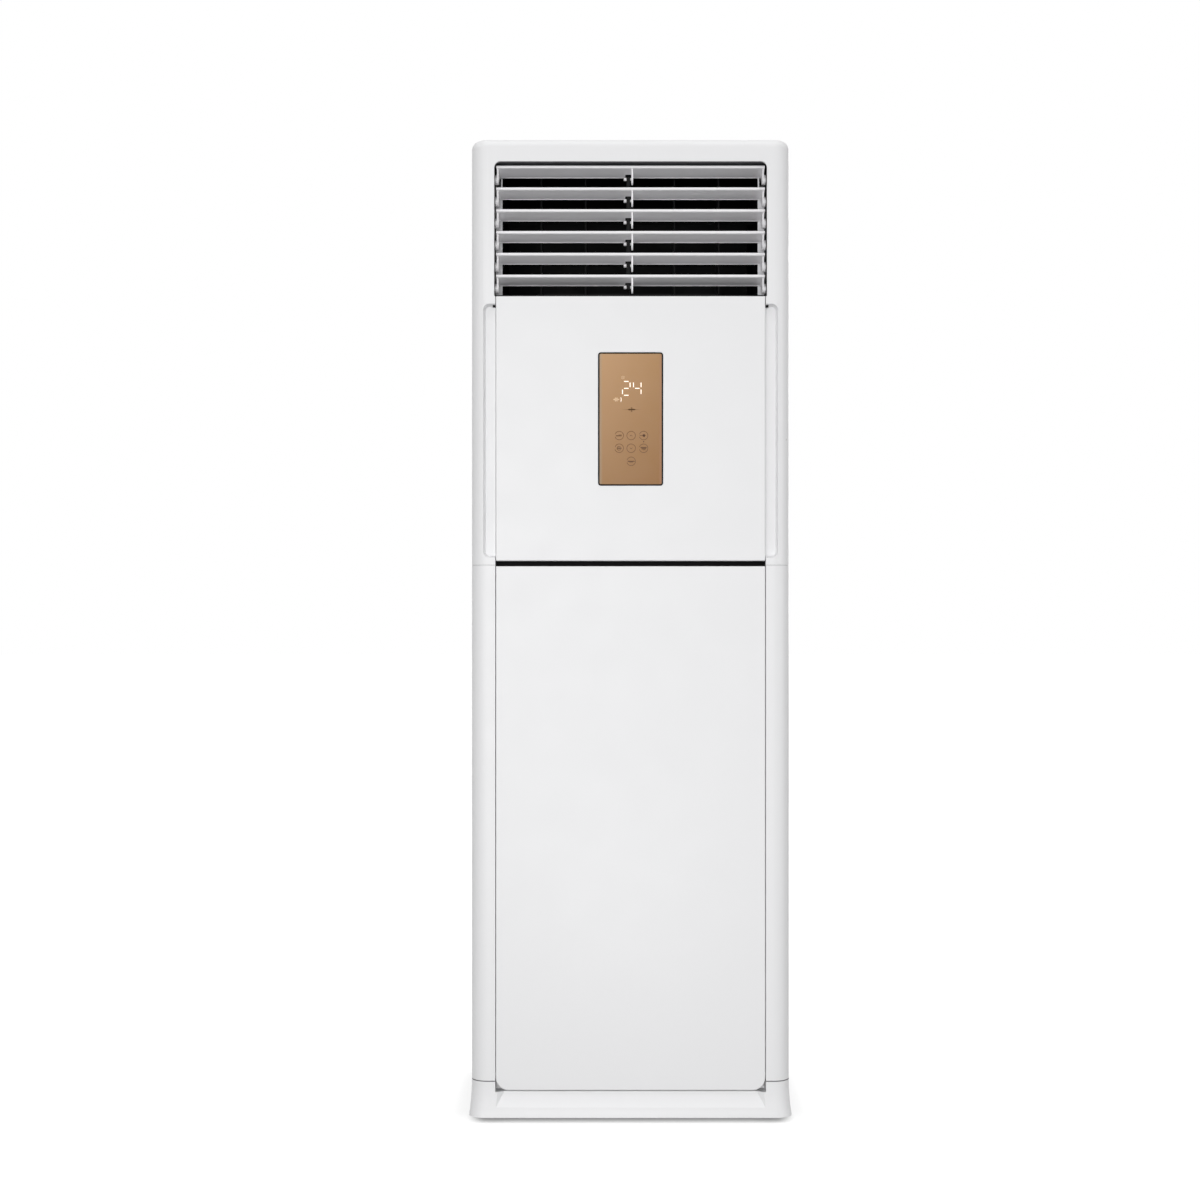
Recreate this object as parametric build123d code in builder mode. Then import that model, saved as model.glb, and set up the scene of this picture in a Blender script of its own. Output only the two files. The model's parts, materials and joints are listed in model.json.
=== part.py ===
from build123d import *
import os
from math import cos, radians, sin, tan

# Floor standing air conditioner, indoor cabinet. Millimetres, +Z up, front towards -Y, +X to the
# right of someone who faces it. The origin lies on the floor, under the middle of the cabinet.

# ---- cabinet ----
cabinet_width = 605.0
cabinet_depth = 350.0
cabinet_height = 1855.0
base_flare = 5.0  # how far the foot of the plinth stands out at the sides and the front
corner_radius = 30.0  # upright front corners, seen from above
top_radius = 17.0  # edges of the top
shell_wall = 3.0  # moulded skins
sheet = 1.2  # folded steel
sheet_flange = 12.0
frame_depth = 60.0  # moulded front, from its face back to the steel side panels
top_cover_height = 26.0
base_height = 69.0
fit_gap = 0.3  # between pieces that lie beside each other
base_seam = 1.8  # height of the shadow line between the plinth and the columns
column_joint = 0.5  # height of the shadow line between lower and upper columns
seam_depth = 2.0
pin_clearance = 0.05  # radial, round every pin and shaft that turns

# ---- front, from the floor up ----
scoop_bottom = 19.0
scoop_depth = 9.5  # of the sloping face at its top
toe_recess_depth = 31.0  # behind the foot of the lower panel, which swings into it
scoop_end_slant = 17.0
lower_panel_bottom = 50.5
slot_height = 10.0
upper_panel_height = 502.0
outlet_height = 255.6
top_rail = 43.4  # above the outlet
column_face = 46.0  # from the side of the cabinet to the bay of the panels
outlet_widening = 2.0  # of the outlet over the bay, on each side
outlet_corner = 12.0
ring_corner = 4.0  # of the space behind the lip, where the louver frame sits
outlet_lip = 6.0
panel_gap = 1.0  # at each side
panel_depth = 15.0
panel_skin = 2.5
panel_edge_radius = 2.4
lower_panel_corner = 24.0
upper_panel_corner = 2.0
pocket_width = 23.0
pocket_depth = 14.0
pocket_corner = 12.0
pocket_draft = 15.0  # degrees
pocket_bottom_margin = 6.0
pocket_top_margin = 14.3

# ---- panel fittings ----
hinge_height = 80.0
hinge_depth = 10.0  # behind the front face
hinge_pin_radius = 4.0
hinge_pin_length = 8.0
stud_radius = 4.0
stud_reach = 27.0  # from the inside of the upper panel
stud_inset = 56.5  # from the side of the bay
stud_clearance = 0.3
catch_width = 30.0
catch_inset = 76.5
catch_height = 11.0
catch_reach = 10.0

# ---- control panel ----
control_width = 123.6
control_height = 253.0
control_rise = 269.0  # its middle above the foot of the upper panel
control_corner = 5.5
glass_corner = 1.0  # least corner of the glass and its opening
bezel_rim = 2.9
bezel_depth = 10.0
bezel_proud = 0.6
glass_thickness = 2.0
glass_proud = 0.2
board_thickness = 1.6
board_margin = 8.0

# ---- louvers ----
louver_count = 6
louver_end_gap = 3.0
louver_chord = 48.0
lip_drop = 0.8  # strip that hangs from the back edge
lip_thickness = 1.2
louver_tilt = 12.5  # degrees, front edge up
nose_radius = 3.0
tail_radius = 1.25
top_nose_drop = 8.1  # first nose below the top of the outlet
bottom_nose_rise = 40.0  # last nose above the foot of the outlet
pivot_drop = 22.0  # pivot below the nose
pivot_setback = 12.0  # pivot behind the nose
pivot_depth = 27.0  # pivots behind the front face
leaf_radius = 9.5  # round end of the hanging plates
leaf_thickness = 3.0
leaf_inset = 2.9  # hanging plates from the ends of the blade
louver_pin_radius = 4.0
rib_centre = 3.4
crank_setback = 25.0
crank_rise = 7.0
crank_radius = 5.0
crank_pin_radius = 2.5
crank_head_radius = 3.5
crank_head_length = 5.0
rod_centre = -3.6
rod_width = 6.8
rod_thickness = 8.0
rod_end = 7.0
notch_depth = 15.5
notch_margin = 2.4
driven_louver = 3
spindle_radius = 2.5
spindle_length = 12.0

# ---- louver frame and outlet duct ----
frame_back = 64.0  # back of the louver frame, behind the front face
sill_height = 24.0
sill_rise = 4.0  # above the upper panel
sill_depth = 51.0
duct_inset = 12.5  # inside of the duct from the sides of the outlet
duct_wall = 3.0
duct_rear_gap = 13.0
duct_curve = 70.0
duct_top_drop = 5.6  # inside of the duct below the top of the outlet
duct_floor_depth = 95.0
flange_drop = 5.0  # top of the flanges below the first pivot
flange_corner = 6.0

# ---- upright vanes ----
vane_count = 5
vane_side_gap = 74.0
vane_chord = 60.0
vane_thickness = 2.4
vane_gap = 2.0
vane_depth = 110.0  # pivots behind the front face
vane_pin_radius = 2.5
vane_arm = 20.0  # tie pin behind the pivot
tie_height = 18.0  # tie bar above the duct floor
tie_thickness = 5.0
tie_width = 8.0
tie_pin_radius = 1.8
tie_notch_height = 10.0
driven_vane = 3
guard_bar_count = 2
guard_bar_radius = 2.0
guard_bar_depth = 160.0

# ---- stepper motors ----
stepper_radius = 14.0
stepper_length = 19.0
stepper_ear = 35.0  # between the ear holes
stepper_ear_width = 7.0
stepper_ear_thickness = 1.0
stepper_socket = 13.0
socket_gap = 1.0  # between the end of a driven pin and the bottom of its socket

# ---- fan section ----
deck_height = 600.0
fan_x = -50.0
fan_height = 320.0
wheel_radius = 160.0
wheel_gap = 8.0  # to the front wall of the scroll
wheel_rear_gap = 14.0
blade_depth = 27.0
wheel_blade_count = 36
blade_thickness = 1.4
blade_sweep = 9.0  # degrees between the inner and outer edge of a blade
wheel_disc = 1.5
dish_step = 14.0  # flat of the dish inside the motor's radius
dish_depth = 50.0
dish_slope = 46.0  # rim of the dish outside the motor's radius
hub_radius = 14.0
hub_setback = 62.0  # front of the hub ahead of the wheel's back
hub_gap = 1.5
shaft_radius = 6.0
shaft_chamfer = 1.0
shaft_front_reach = 12.0
shaft_rear_gap = 10.0
nut_across_flats = 18.0
nut_thickness = 8.0
scroll_wall = 2.0
scroll_start_gap = 25.0  # round the wheel where the snail begins
scroll_step = 18.0
scroll_depth = 146.0
scroll_tongue_radius = 10.0
scroll_flange = 12.0
bell_radius = 21.0
bell_overlap = 8.0  # of the throat inside the wheel's eye
bell_flange = 20.0
motor_radius = 62.0
motor_length = 80.0
motor_rear_gap = 15.0
scroll_motor_overlap = 34.0  # of the motor behind the scroll
motor_boss_radius = 22.0
motor_boss_length = 3.5
motor_flange = 12.0
motor_hole_gap = 6.0
bracket_reach = 24.0
bracket_thickness = 3.0
bracket_arm_count = 4

# ---- side intakes ----
intake_bottom = 130.0
intake_top_margin = 40.0  # below the fan deck
intake_front_margin = 30.0
intake_rear_margin = 35.0
intake_corner = 10.0
grille_lip = 10.0
grille_lip_thickness = 2.0
grille_rim_depth = 14.0
grille_slot_count = 16
grille_slot_share = 0.52  # of the pitch that is open
grille_column_count = 2
filter_thickness = 5.0
filter_border = 8.0
filter_net = 0.8
filter_column_count = 3
filter_row_count = 6
filter_rib = 2.0

# ---- coil section ----
coil_pipe_space = 77.5  # between the coil and the right side, for the pipes
coil_bottom_gap = 60.0
coil_top_gap = 18.0
coil_shift = 11.7  # its middle ahead of the middle of the cabinet's inside
coil_thickness = 45.0
coil_core = 8.0
coil_lean = 30.0  # degrees from upright, top towards the back
fin_pitch = 12.0
fin_thickness = 2.0
end_plate = 1.5
tube_radius = 4.8
tube_side_count = 8
bend_count = 5
drain_pan_depth = 110.0
drain_pan_wall = 2.0
drain_pan_height = 34.0
drain_spigot_radius = 8.0
drain_spigot_bore = 6.0
drain_spigot_length = 25.0
drain_spigot_inset_x = 44.5
drain_spigot_inset_y = 40.0
coil_foot_depth = 40.0

# ---- refrigerant pipes ----
gas_pipe_radius = 7.94
gas_pipe_step_count = 3  # tube pitches up the coil from its middle
liquid_pipe_radius = 4.76
liquid_pipe_step_count = 1
pipe_spread = 18.0  # of each pipe end from the middle of the entry
pipe_run_inset = 40.5
pipe_bend = 24.0
pipe_wall = 1.0
pipe_open_length = 30.0
pipe_end_inset = 25.0
entry_inset = 62.5
entry_height = 160.0
entry_radius = 40.0
grommet_rim = 3.0
grommet_face = 2.0
deck_pipe_margin = 10.0

# ---- crossmember and coil cover ----
crossmember_height = 50.0
crossmember_depth = 38.0
crossmember_setback = 20.0
crossmember_wall = 1.5
crossmember_below_seam = 23.0
cover_setback = 30.0

# ---- electrics ----
box_width = 320.0
box_top_gap = 41.0
box_depth = 80.0
box_x = -60.0
box_rear_gap = 5.0  # to the fan scroll
main_board_margin = 40.0
main_board_share = 0.47  # of the height of the electrical box
standoff = 8.0
terminal_width = 90.0
terminal_height = 24.0
terminal_depth = 18.0
terminal_pole_count = 5
capacitor_radius = 20.0
capacitor_length = 60.0

# ---- base pan and rear ----
pan_sheet = 2.0
floor_hole_radius = 5.5
floor_hole_inset = 62.5
floor_hole_setback = 65.0
wall_hole_radius = 4.0
wall_hole_inset = 102.5
wall_hole_drop = 59.0
screw_radius = 1.6
screw_hole_radius = 1.65
screw_length = 6.0
screw_head_radius = 4.0
screw_head_height = 1.6
screw_slot = 1.0
screw_margin = 50.0
screw_step_count = 5  # intervals between the screws of one edge
plinth_section_count = 5

# ---- places that follow from them ----
past = 40.0  # how far a cutting tool runs past the face it leaves
cut_lead = 1.0  # how far in front of its face a sloping cut starts
half_width = cabinet_width / 2
front_y = -cabinet_depth / 2 + base_flare
rear_y = cabinet_depth / 2
rear_skin_y = rear_y - screw_head_height
frame_y = front_y + frame_depth
side_inner_x = half_width - sheet
body_top = cabinet_height - top_cover_height
bay_width = cabinet_width - 2 * column_face
outlet_width = bay_width + 2 * outlet_widening
half_bay = bay_width / 2
half_outlet = outlet_width / 2

outlet_top = cabinet_height - top_rail
upper_panel_top = outlet_top - outlet_height
upper_panel_bottom = upper_panel_top - upper_panel_height
lower_panel_top = upper_panel_bottom - slot_height
lower_panel_height = lower_panel_top - lower_panel_bottom
upper_panel_width = bay_width - 2 * panel_gap
lower_panel_width = bay_width - 2 * panel_gap
column_seam = lower_panel_top + panel_edge_radius
stud_spacing = bay_width - 2 * stud_inset
catch_spacing = bay_width - 2 * catch_inset
control_centre_height = upper_panel_bottom + control_rise

louver_length = outlet_width - 2 * louver_end_gap
leaf_spacing = louver_length - 2 * leaf_inset
louver_pitch = (outlet_height - top_nose_drop - bottom_nose_rise) / (louver_count - 1)
pivot_y = front_y + pivot_depth
top_pivot_z = outlet_top - top_nose_drop - pivot_drop
sill_top = upper_panel_top + sill_rise
sill_bottom = sill_top - sill_height
frame_back_y = front_y + frame_back
duct_width = outlet_width - 2 * duct_inset
half_duct = duct_width / 2
duct_depth = rear_y - duct_rear_gap - frame_back_y
duct_ceiling = outlet_top - duct_top_drop
duct_back_y = frame_back_y + duct_depth
vane_y = front_y + vane_depth
vane_pitch = (duct_width - 2 * vane_side_gap) / (vane_count - 1)

motor_rear_y = rear_y - motor_rear_gap
motor_front_y = motor_rear_y - motor_length
motor_flange_radius = motor_radius + motor_flange
motor_hole_radius = motor_flange_radius + motor_hole_gap
bracket_radius = motor_hole_radius + bracket_reach
scroll_rear_y = motor_rear_y - scroll_motor_overlap
scroll_front_y = scroll_rear_y - scroll_depth
wheel_front_y = scroll_front_y + wheel_gap
wheel_rear_y = scroll_rear_y - wheel_rear_gap
wheel_width = wheel_rear_y - wheel_front_y
wheel_eye_radius = wheel_radius - blade_depth
dish_radius = motor_radius - dish_step
dish_rim_radius = motor_radius + dish_slope
hub_front_y = wheel_rear_y - hub_setback
hub_rear_y = motor_front_y - motor_boss_length - hub_gap
shaft_front_y = hub_front_y - shaft_front_reach
shaft_rear_y = motor_rear_y - shaft_rear_gap
bell_throat_radius = wheel_eye_radius - bell_overlap
eye_radius = bell_throat_radius + bell_radius
scroll_start_radius = wheel_radius + scroll_start_gap

intake_top = deck_height - intake_top_margin
intake_height = intake_top - intake_bottom
intake_front = frame_y + intake_front_margin
intake_width = rear_y - intake_rear_margin - intake_front
intake_centre_y = intake_front + intake_width / 2

crossmember_top = column_seam - crossmember_below_seam + crossmember_height
crossmember_y = front_y + crossmember_setback
cover_y = front_y + cover_setback

lean = radians(coil_lean)
coil_left = -half_bay + end_plate
coil_width = half_width - coil_pipe_space - coil_left
coil_x = coil_left + coil_width / 2
coil_rise = sill_bottom - crossmember_top - coil_bottom_gap - coil_top_gap
coil_length = (coil_rise - coil_thickness * sin(lean)) / cos(lean)
coil_centre_height = crossmember_top + coil_bottom_gap + coil_rise / 2
coil_centre_y = (frame_y + rear_skin_y) / 2 - coil_shift
tube_pitch = coil_length / (2 * bend_count + 0.5)
gas_pipe_climb = gas_pipe_step_count * tube_pitch
liquid_pipe_climb = liquid_pipe_step_count * tube_pitch
pipe_run_x = half_width - pipe_run_inset
pipe_end_y = rear_y - pipe_end_inset
entry_x = half_width - entry_inset
gas_outlet_height = entry_height + pipe_spread
liquid_outlet_height = entry_height - pipe_spread

box_bottom = deck_height + sheet
box_top = crossmember_top - crossmember_height - box_top_gap
floor_hole_spacing_x = cabinet_width - 2 * floor_hole_inset
floor_hole_spacing_y = cabinet_depth - 2 * floor_hole_setback
wall_hole_spacing = cabinet_width - 2 * wall_hole_inset

pieces = {}


def keep(name, part):
    """Names one finished piece."""
    part.label = name
    pieces[name] = part


def facing(y):
    """Upright plane at depth y, drawn as seen from the front. Extrusions from it run forwards."""
    return Plane.XZ.offset(-y)


def span(x, y, z, mode=Mode.ADD):
    """A block between two values on each axis."""
    middle = ((x[0] + x[1]) / 2, (y[0] + y[1]) / 2, (z[0] + z[1]) / 2)
    with Locations(middle):
        return Box(x[1] - x[0], y[1] - y[0], z[1] - z[0], mode=mode)


def mirrored(part):
    """The same piece on the other side of the cabinet."""
    with BuildPart() as other:
        add(part)
        mirror(about=Plane.YZ, mode=Mode.REPLACE)
    return other.part


# ---------------------------------------------------------------- moulded front
def front_band(inset, low, high, rounded_top):
    """The front of the cabinet between two heights, drawn in from its skin by inset."""
    with BuildPart() as band:
        with BuildSketch(Plane.XY.offset(low)) as plan:
            with Locations((0, front_y + inset)):
                Rectangle(
                    cabinet_width - 2 * inset,
                    frame_depth - inset,
                    align=(Align.CENTER, Align.MIN),
                )
            fillet(plan.vertices().group_by(Axis.Y)[0], corner_radius - inset)
        extrude(amount=high - low)
        if rounded_top:
            top_edges = band.faces().sort_by(Axis.Z)[-1].edges().sort_by(Axis.Y)[:-1]
            fillet(top_edges, top_radius - inset)
    return band.part


def shadow_line(level, height):
    """Strip of the front skin just below a seam, cut away so that the seam shows as a line."""
    with BuildPart() as strip:
        span(
            (-half_width - past, half_width + past),
            (front_y - past, frame_y),
            (level - height, level + past),
        )
        add(front_band(seam_depth, level - past, level + 2 * past, False), mode=Mode.SUBTRACT)
    return strip.part


def front_opening(grow):
    """Outline of the bay between the columns, and of the wider outlet above it."""
    with BuildSketch(facing(frame_y + past)) as outline:
        with Locations((0, (upper_panel_top + outlet_top) / 2 + grow / 2)):
            Rectangle(outlet_width + 2 * grow, outlet_height + grow)
        fillet(outline.vertices().group_by(Axis.Y)[-1], outlet_corner + grow)
        with Locations((0, upper_panel_top)):
            Rectangle(
                bay_width + 2 * grow,
                upper_panel_top,
                align=(Align.CENTER, Align.MAX),
            )
    return outline.sketch


def outlet_ring_outline(grow):
    """Outline of the space for the louver frame, behind the lip of the outlet."""
    with BuildSketch(facing(frame_y + past)) as outline:
        with Locations((0, (sill_bottom + outlet_top) / 2 + grow / 2)):
            Rectangle(outlet_width + 2 * grow, outlet_top - sill_bottom + grow)
        fillet(outline.vertices().group_by(Axis.Y)[-1], ring_corner + grow)
    return outline.sketch


pocket_low = upper_panel_bottom + pocket_bottom_margin
pocket_high = upper_panel_top - pocket_top_margin
pocket_outer = half_bay + pocket_width
lining = 2 * (frame_depth + past)

with BuildPart() as frame_hollow:
    add(front_band(shell_wall, column_seam - past, cabinet_height - shell_wall, True))
    extrude(front_opening(shell_wall), amount=lining, mode=Mode.SUBTRACT)
    for side in (-1, 1):
        reach = sorted((side * half_bay, side * (pocket_outer + shell_wall)))
        span(
            reach,
            (front_y, front_y + pocket_depth + shell_wall),
            (pocket_low - shell_wall, pocket_high + shell_wall),
            mode=Mode.SUBTRACT,
        )

with BuildPart() as upper_front_frame:
    add(front_band(0, column_seam, cabinet_height, True))
    add(frame_hollow.part, mode=Mode.SUBTRACT)
    extrude(front_opening(0), amount=lining, mode=Mode.SUBTRACT)
    # room for the louver frame behind the lip
    extrude(
        outlet_ring_outline(shell_wall + fit_gap),
        amount=frame_depth + past - outlet_lip,
        mode=Mode.SUBTRACT,
    )
    # finger pockets, open towards the panel, with sloping outer walls
    for side in (-1, 1):
        with BuildSketch(Plane((0, front_y - cut_lead, 0), x_dir=(-1, 0, 0), z_dir=(0, 1, 0))):
            with Locations((side * half_bay, (pocket_low + pocket_high) / 2)):
                RectangleRounded(
                    2 * (pocket_width + cut_lead * tan(radians(pocket_draft))),
                    pocket_high - pocket_low,
                    pocket_corner,
                )
        extrude(
            amount=cut_lead + pocket_depth, taper=pocket_draft, mode=Mode.SUBTRACT
        )
keep("upper_front_frame", upper_front_frame.part)

with BuildPart() as lower_column_right:
    with BuildSketch(Plane.XY.offset(base_height)) as section:
        with Locations((half_bay, front_y)):
            Rectangle(
                half_width - half_bay, frame_depth, align=(Align.MIN, Align.MIN)
            )
        fillet(
            section.vertices().group_by(Axis.Y)[0].sort_by(Axis.X)[-1], corner_radius
        )
    extrude(amount=column_seam - base_height)
    with BuildSketch(Plane.XY.offset(base_height)) as hollow:
        with Locations((half_bay + shell_wall, front_y + shell_wall)):
            Rectangle(
                half_width - half_bay - 2 * shell_wall,
                frame_depth,
                align=(Align.MIN, Align.MIN),
            )
        fillet(
            hollow.vertices().group_by(Axis.Y)[0].sort_by(Axis.X)[-1],
            corner_radius - shell_wall,
        )
    extrude(amount=column_seam - base_height, mode=Mode.SUBTRACT)
    # bearing for the lower panel's hinge pin
    with Locations(
        Location((half_bay, front_y + hinge_depth, hinge_height), (0, 90, 0))
    ):
        Cylinder(
            hinge_pin_radius + pin_clearance, 4 * shell_wall, mode=Mode.SUBTRACT
        )
    add(shadow_line(column_seam, column_joint), mode=Mode.SUBTRACT)
keep("lower_column_right", lower_column_right.part)
keep("lower_column_left", mirrored(lower_column_right.part))


# ---------------------------------------------------------------- plinth and pan
def flare_at(level):
    """How far the skin of the plinth stands out at a height."""
    return base_flare * (1 - level / base_height) ** 2


def plinth_body(inset, low, high):
    """The plinth as a closed body: its skin sweeps outwards in a hollow curve to the floor."""
    with BuildPart() as body:
        for step in range(plinth_section_count + 1):
            level = base_height * step / plinth_section_count
            flare = flare_at(level)
            with BuildSketch(Plane.XY.offset(level)) as plan:
                with Locations((0, front_y - flare + inset)):
                    Rectangle(
                        cabinet_width + 2 * (flare - inset),
                        rear_y - front_y + flare - 2 * inset,
                        align=(Align.CENTER, Align.MIN),
                    )
                fillet(plan.vertices().group_by(Axis.Y)[0], corner_radius - inset)
        loft(ruled=True)
        if low < 0:
            extrude(body.faces().sort_by(Axis.Z)[0], amount=-low)
            extrude(body.faces().sort_by(Axis.Z)[-1], amount=high - base_height)
    return body.part


scoop_back_y = front_y + scoop_depth
recess_back_y = front_y + toe_recess_depth
recess_floor = lower_panel_bottom - shell_wall
with BuildPart() as plinth_hollow:
    add(plinth_body(shell_wall, -past, base_height + past))
    # the hollow stays behind the scoop
    with BuildSketch(Plane.YZ.offset(-half_bay - shell_wall)) as behind_scoop:
        with BuildLine():
            Polyline(
                (front_y - past, scoop_bottom - shell_wall),
                (front_y, scoop_bottom - shell_wall),
                (scoop_back_y + shell_wall, recess_floor - shell_wall),
                (recess_back_y + shell_wall, recess_floor - shell_wall),
                (recess_back_y + shell_wall, base_height + 2 * past),
                (front_y - past, base_height + 2 * past),
                close=True,
            )
        make_face()
    extrude(amount=bay_width + 2 * shell_wall, mode=Mode.SUBTRACT)

with BuildPart() as base_plinth:
    add(plinth_body(0, 0, base_height))
    add(plinth_hollow.part, mode=Mode.SUBTRACT)
    # straight recess behind the foot of the lower panel
    span(
        (-half_bay, half_bay),
        (front_y - past, recess_back_y),
        (recess_floor, base_height + past),
        mode=Mode.SUBTRACT,
    )
    # scoop that slopes forward from there, with slanting ends
    mouth_y = front_y - flare_at(scoop_bottom)
    scoop_slope = (recess_floor - scoop_bottom) / (scoop_back_y - mouth_y)
    mouth_bottom = scoop_bottom - scoop_slope * cut_lead
    with BuildSketch(facing(mouth_y - cut_lead)) as scoop_mouth:
        with Locations((0, (mouth_bottom + lower_panel_bottom) / 2)):
            Rectangle(bay_width, lower_panel_bottom - mouth_bottom)
    with BuildSketch(facing(scoop_back_y)) as scoop_end:
        with Locations((0, lower_panel_bottom - shell_wall / 2)):
            Rectangle(bay_width - 2 * scoop_end_slant, shell_wall)
    loft(ruled=True, mode=Mode.SUBTRACT)
    add(shadow_line(base_height, base_seam), mode=Mode.SUBTRACT)
keep("base_plinth", base_plinth.part)

pan_half = half_width - shell_wall - fit_gap
pan_front_y = recess_back_y + shell_wall + fit_gap
pan_rear_y = rear_y - shell_wall - fit_gap
with BuildPart() as base_pan:
    span((-pan_half, pan_half), (pan_front_y, pan_rear_y), (0, base_height - shell_wall))
    span(
        (-pan_half + pan_sheet, pan_half - pan_sheet),
        (pan_front_y + pan_sheet, pan_rear_y - pan_sheet),
        (pan_sheet, base_height),
        mode=Mode.SUBTRACT,
    )
    pan_floor = Plane((0, (pan_front_y + pan_rear_y) / 2, pan_sheet))
    with Locations(pan_floor):
        with GridLocations(floor_hole_spacing_x, floor_hole_spacing_y, 2, 2):
            Hole(floor_hole_radius)
keep("base_pan", base_pan.part)

# ---------------------------------------------------------------- steel cabinet
rear_seam = deck_height + sheet_flange
screw_run = body_top - base_height - 2 * screw_margin
screw_levels = [
    base_height + screw_margin + step * screw_run / screw_step_count
    for step in range(screw_step_count + 1)
]


def screw_rows(radius, start_y, length):
    """Rods along both edges of the rear panels, from start_y forwards."""
    with BuildPart() as rods:
        with BuildSketch(facing(start_y)):
            for side in (-1, 1):
                for level in screw_levels:
                    with Locations((side * (half_width - sheet_flange / 2), level)):
                        Circle(radius)
        extrude(amount=length)
    return rods.part


with BuildPart() as side_panel_right:
    with BuildSketch(Plane.XY.offset(base_height)) as folded:
        with Locations((half_width, frame_y)):
            Rectangle(
                sheet, rear_skin_y - sheet - frame_y, align=(Align.MAX, Align.MIN)
            )
            Rectangle(sheet_flange, sheet, align=(Align.MAX, Align.MIN))
        with Locations((half_width, rear_skin_y - sheet)):
            Rectangle(sheet_flange, sheet, align=(Align.MAX, Align.MAX))
    extrude(amount=body_top - base_height)
    with BuildSketch(Plane.YZ.offset(side_inner_x - sheet)) as window:
        with Locations((intake_centre_y, (intake_bottom + intake_top) / 2)):
            RectangleRounded(intake_width, intake_height, intake_corner)
    extrude(amount=past, mode=Mode.SUBTRACT)
    add(screw_rows(screw_hole_radius, rear_y, past), mode=Mode.SUBTRACT)
keep("side_panel_right", side_panel_right.part)
keep("side_panel_left", mirrored(side_panel_right.part))

with BuildPart() as top_cover:
    span((-half_width, half_width), (frame_y, rear_y), (body_top, cabinet_height))
    rounded = top_cover.faces().sort_by(Axis.Z)[-1].edges().sort_by(Axis.Y)[1:]
    fillet(rounded, top_radius)
    with BuildPart(mode=Mode.PRIVATE) as under:
        span(
            (-half_width + shell_wall, half_width - shell_wall),
            (frame_y - past, rear_y - shell_wall),
            (body_top - past, cabinet_height - shell_wall),
        )
        inner = under.faces().sort_by(Axis.Z)[-1].edges().sort_by(Axis.Y)[1:]
        fillet(inner, top_radius - shell_wall)
    add(under.part, mode=Mode.SUBTRACT)
keep("top_cover", top_cover.part)

with BuildPart() as rear_lower_panel:
    span(
        (-half_width, half_width),
        (rear_skin_y - sheet, rear_skin_y),
        (base_height, rear_seam),
    )
    add(screw_rows(screw_hole_radius, rear_y, past), mode=Mode.SUBTRACT)
    with BuildSketch(facing(rear_y + past)) as entry:
        with Locations((entry_x, entry_height)):
            Circle(entry_radius + grommet_rim)
    extrude(amount=2 * past, mode=Mode.SUBTRACT)
keep("rear_lower_panel", rear_lower_panel.part)

with BuildPart() as rear_upper_panel:
    span(
        (-half_width, half_width),
        (rear_skin_y - sheet, rear_skin_y),
        (rear_seam, body_top),
    )
    add(screw_rows(screw_hole_radius, rear_y, past), mode=Mode.SUBTRACT)
    with BuildSketch(facing(rear_y + past)) as wall_holes:
        with Locations((0, body_top - wall_hole_drop)):
            with GridLocations(wall_hole_spacing, 1, 2, 1):
                Circle(wall_hole_radius)
    extrude(amount=2 * past, mode=Mode.SUBTRACT)
keep("rear_upper_panel", rear_upper_panel.part)

with BuildPart() as cabinet_screws:
    add(screw_rows(screw_head_radius, rear_y, screw_head_height))
    add(screw_rows(screw_radius, rear_skin_y, screw_length))
    # slot of each head
    for side in (-1, 1):
        for level in screw_levels:
            middle = side * (half_width - sheet_flange / 2)
            span(
                (middle - screw_slot / 2, middle + screw_slot / 2),
                (rear_y - screw_head_height / 2, rear_y + past),
                (level - 2 * screw_head_radius, level + 2 * screw_head_radius),
                mode=Mode.SUBTRACT,
            )
keep("cabinet_screws", cabinet_screws.part)

with BuildPart() as pipe_grommet:
    ring_plane = Plane((entry_x, rear_skin_y, entry_height))
    with BuildSketch(ring_plane) as ring:
        with Locations((entry_radius, screw_head_height)):
            Rectangle(
                grommet_rim,
                screw_head_height + sheet + grommet_face,
                align=(Align.MIN, Align.MAX),
            )
        # lips on both sides of the rear panel
        with Locations((entry_radius, screw_head_height)):
            Rectangle(
                2 * grommet_rim, screw_head_height, align=(Align.MIN, Align.MAX)
            )
        with Locations((entry_radius, -sheet)):
            Rectangle(2 * grommet_rim, grommet_face, align=(Align.MIN, Align.MAX))
    revolve(axis=Axis((entry_x, rear_skin_y, entry_height), (0, 1, 0)))
keep("pipe_grommet", pipe_grommet.part)

# ---------------------------------------------------------------- crossmember and covers
with BuildPart() as mid_crossmember:
    with BuildSketch(Plane.YZ.offset(-half_bay)) as channel:
        with Locations((crossmember_y, crossmember_top)):
            Rectangle(
                crossmember_depth, crossmember_height, align=(Align.MIN, Align.MAX)
            )
        with Locations(
            (crossmember_y + crossmember_wall, crossmember_top - crossmember_wall)
        ):
            Rectangle(
                crossmember_depth,
                crossmember_height - 2 * crossmember_wall,
                align=(Align.MIN, Align.MAX),
                mode=Mode.SUBTRACT,
            )
    extrude(amount=bay_width)
    with BuildSketch(facing(crossmember_y + past / 2)) as lower_stud_holes:
        with Locations((0, upper_panel_bottom + 2 * stud_radius)):
            with GridLocations(stud_spacing, 1, 2, 1):
                Circle(stud_radius + stud_clearance)
    extrude(amount=past, mode=Mode.SUBTRACT)
keep("mid_crossmember", mid_crossmember.part)

with BuildPart() as coil_cover:
    span((-half_bay, half_bay), (cover_y, cover_y + sheet), (crossmember_top, sill_bottom))
keep("coil_cover", coil_cover.part)

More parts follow.
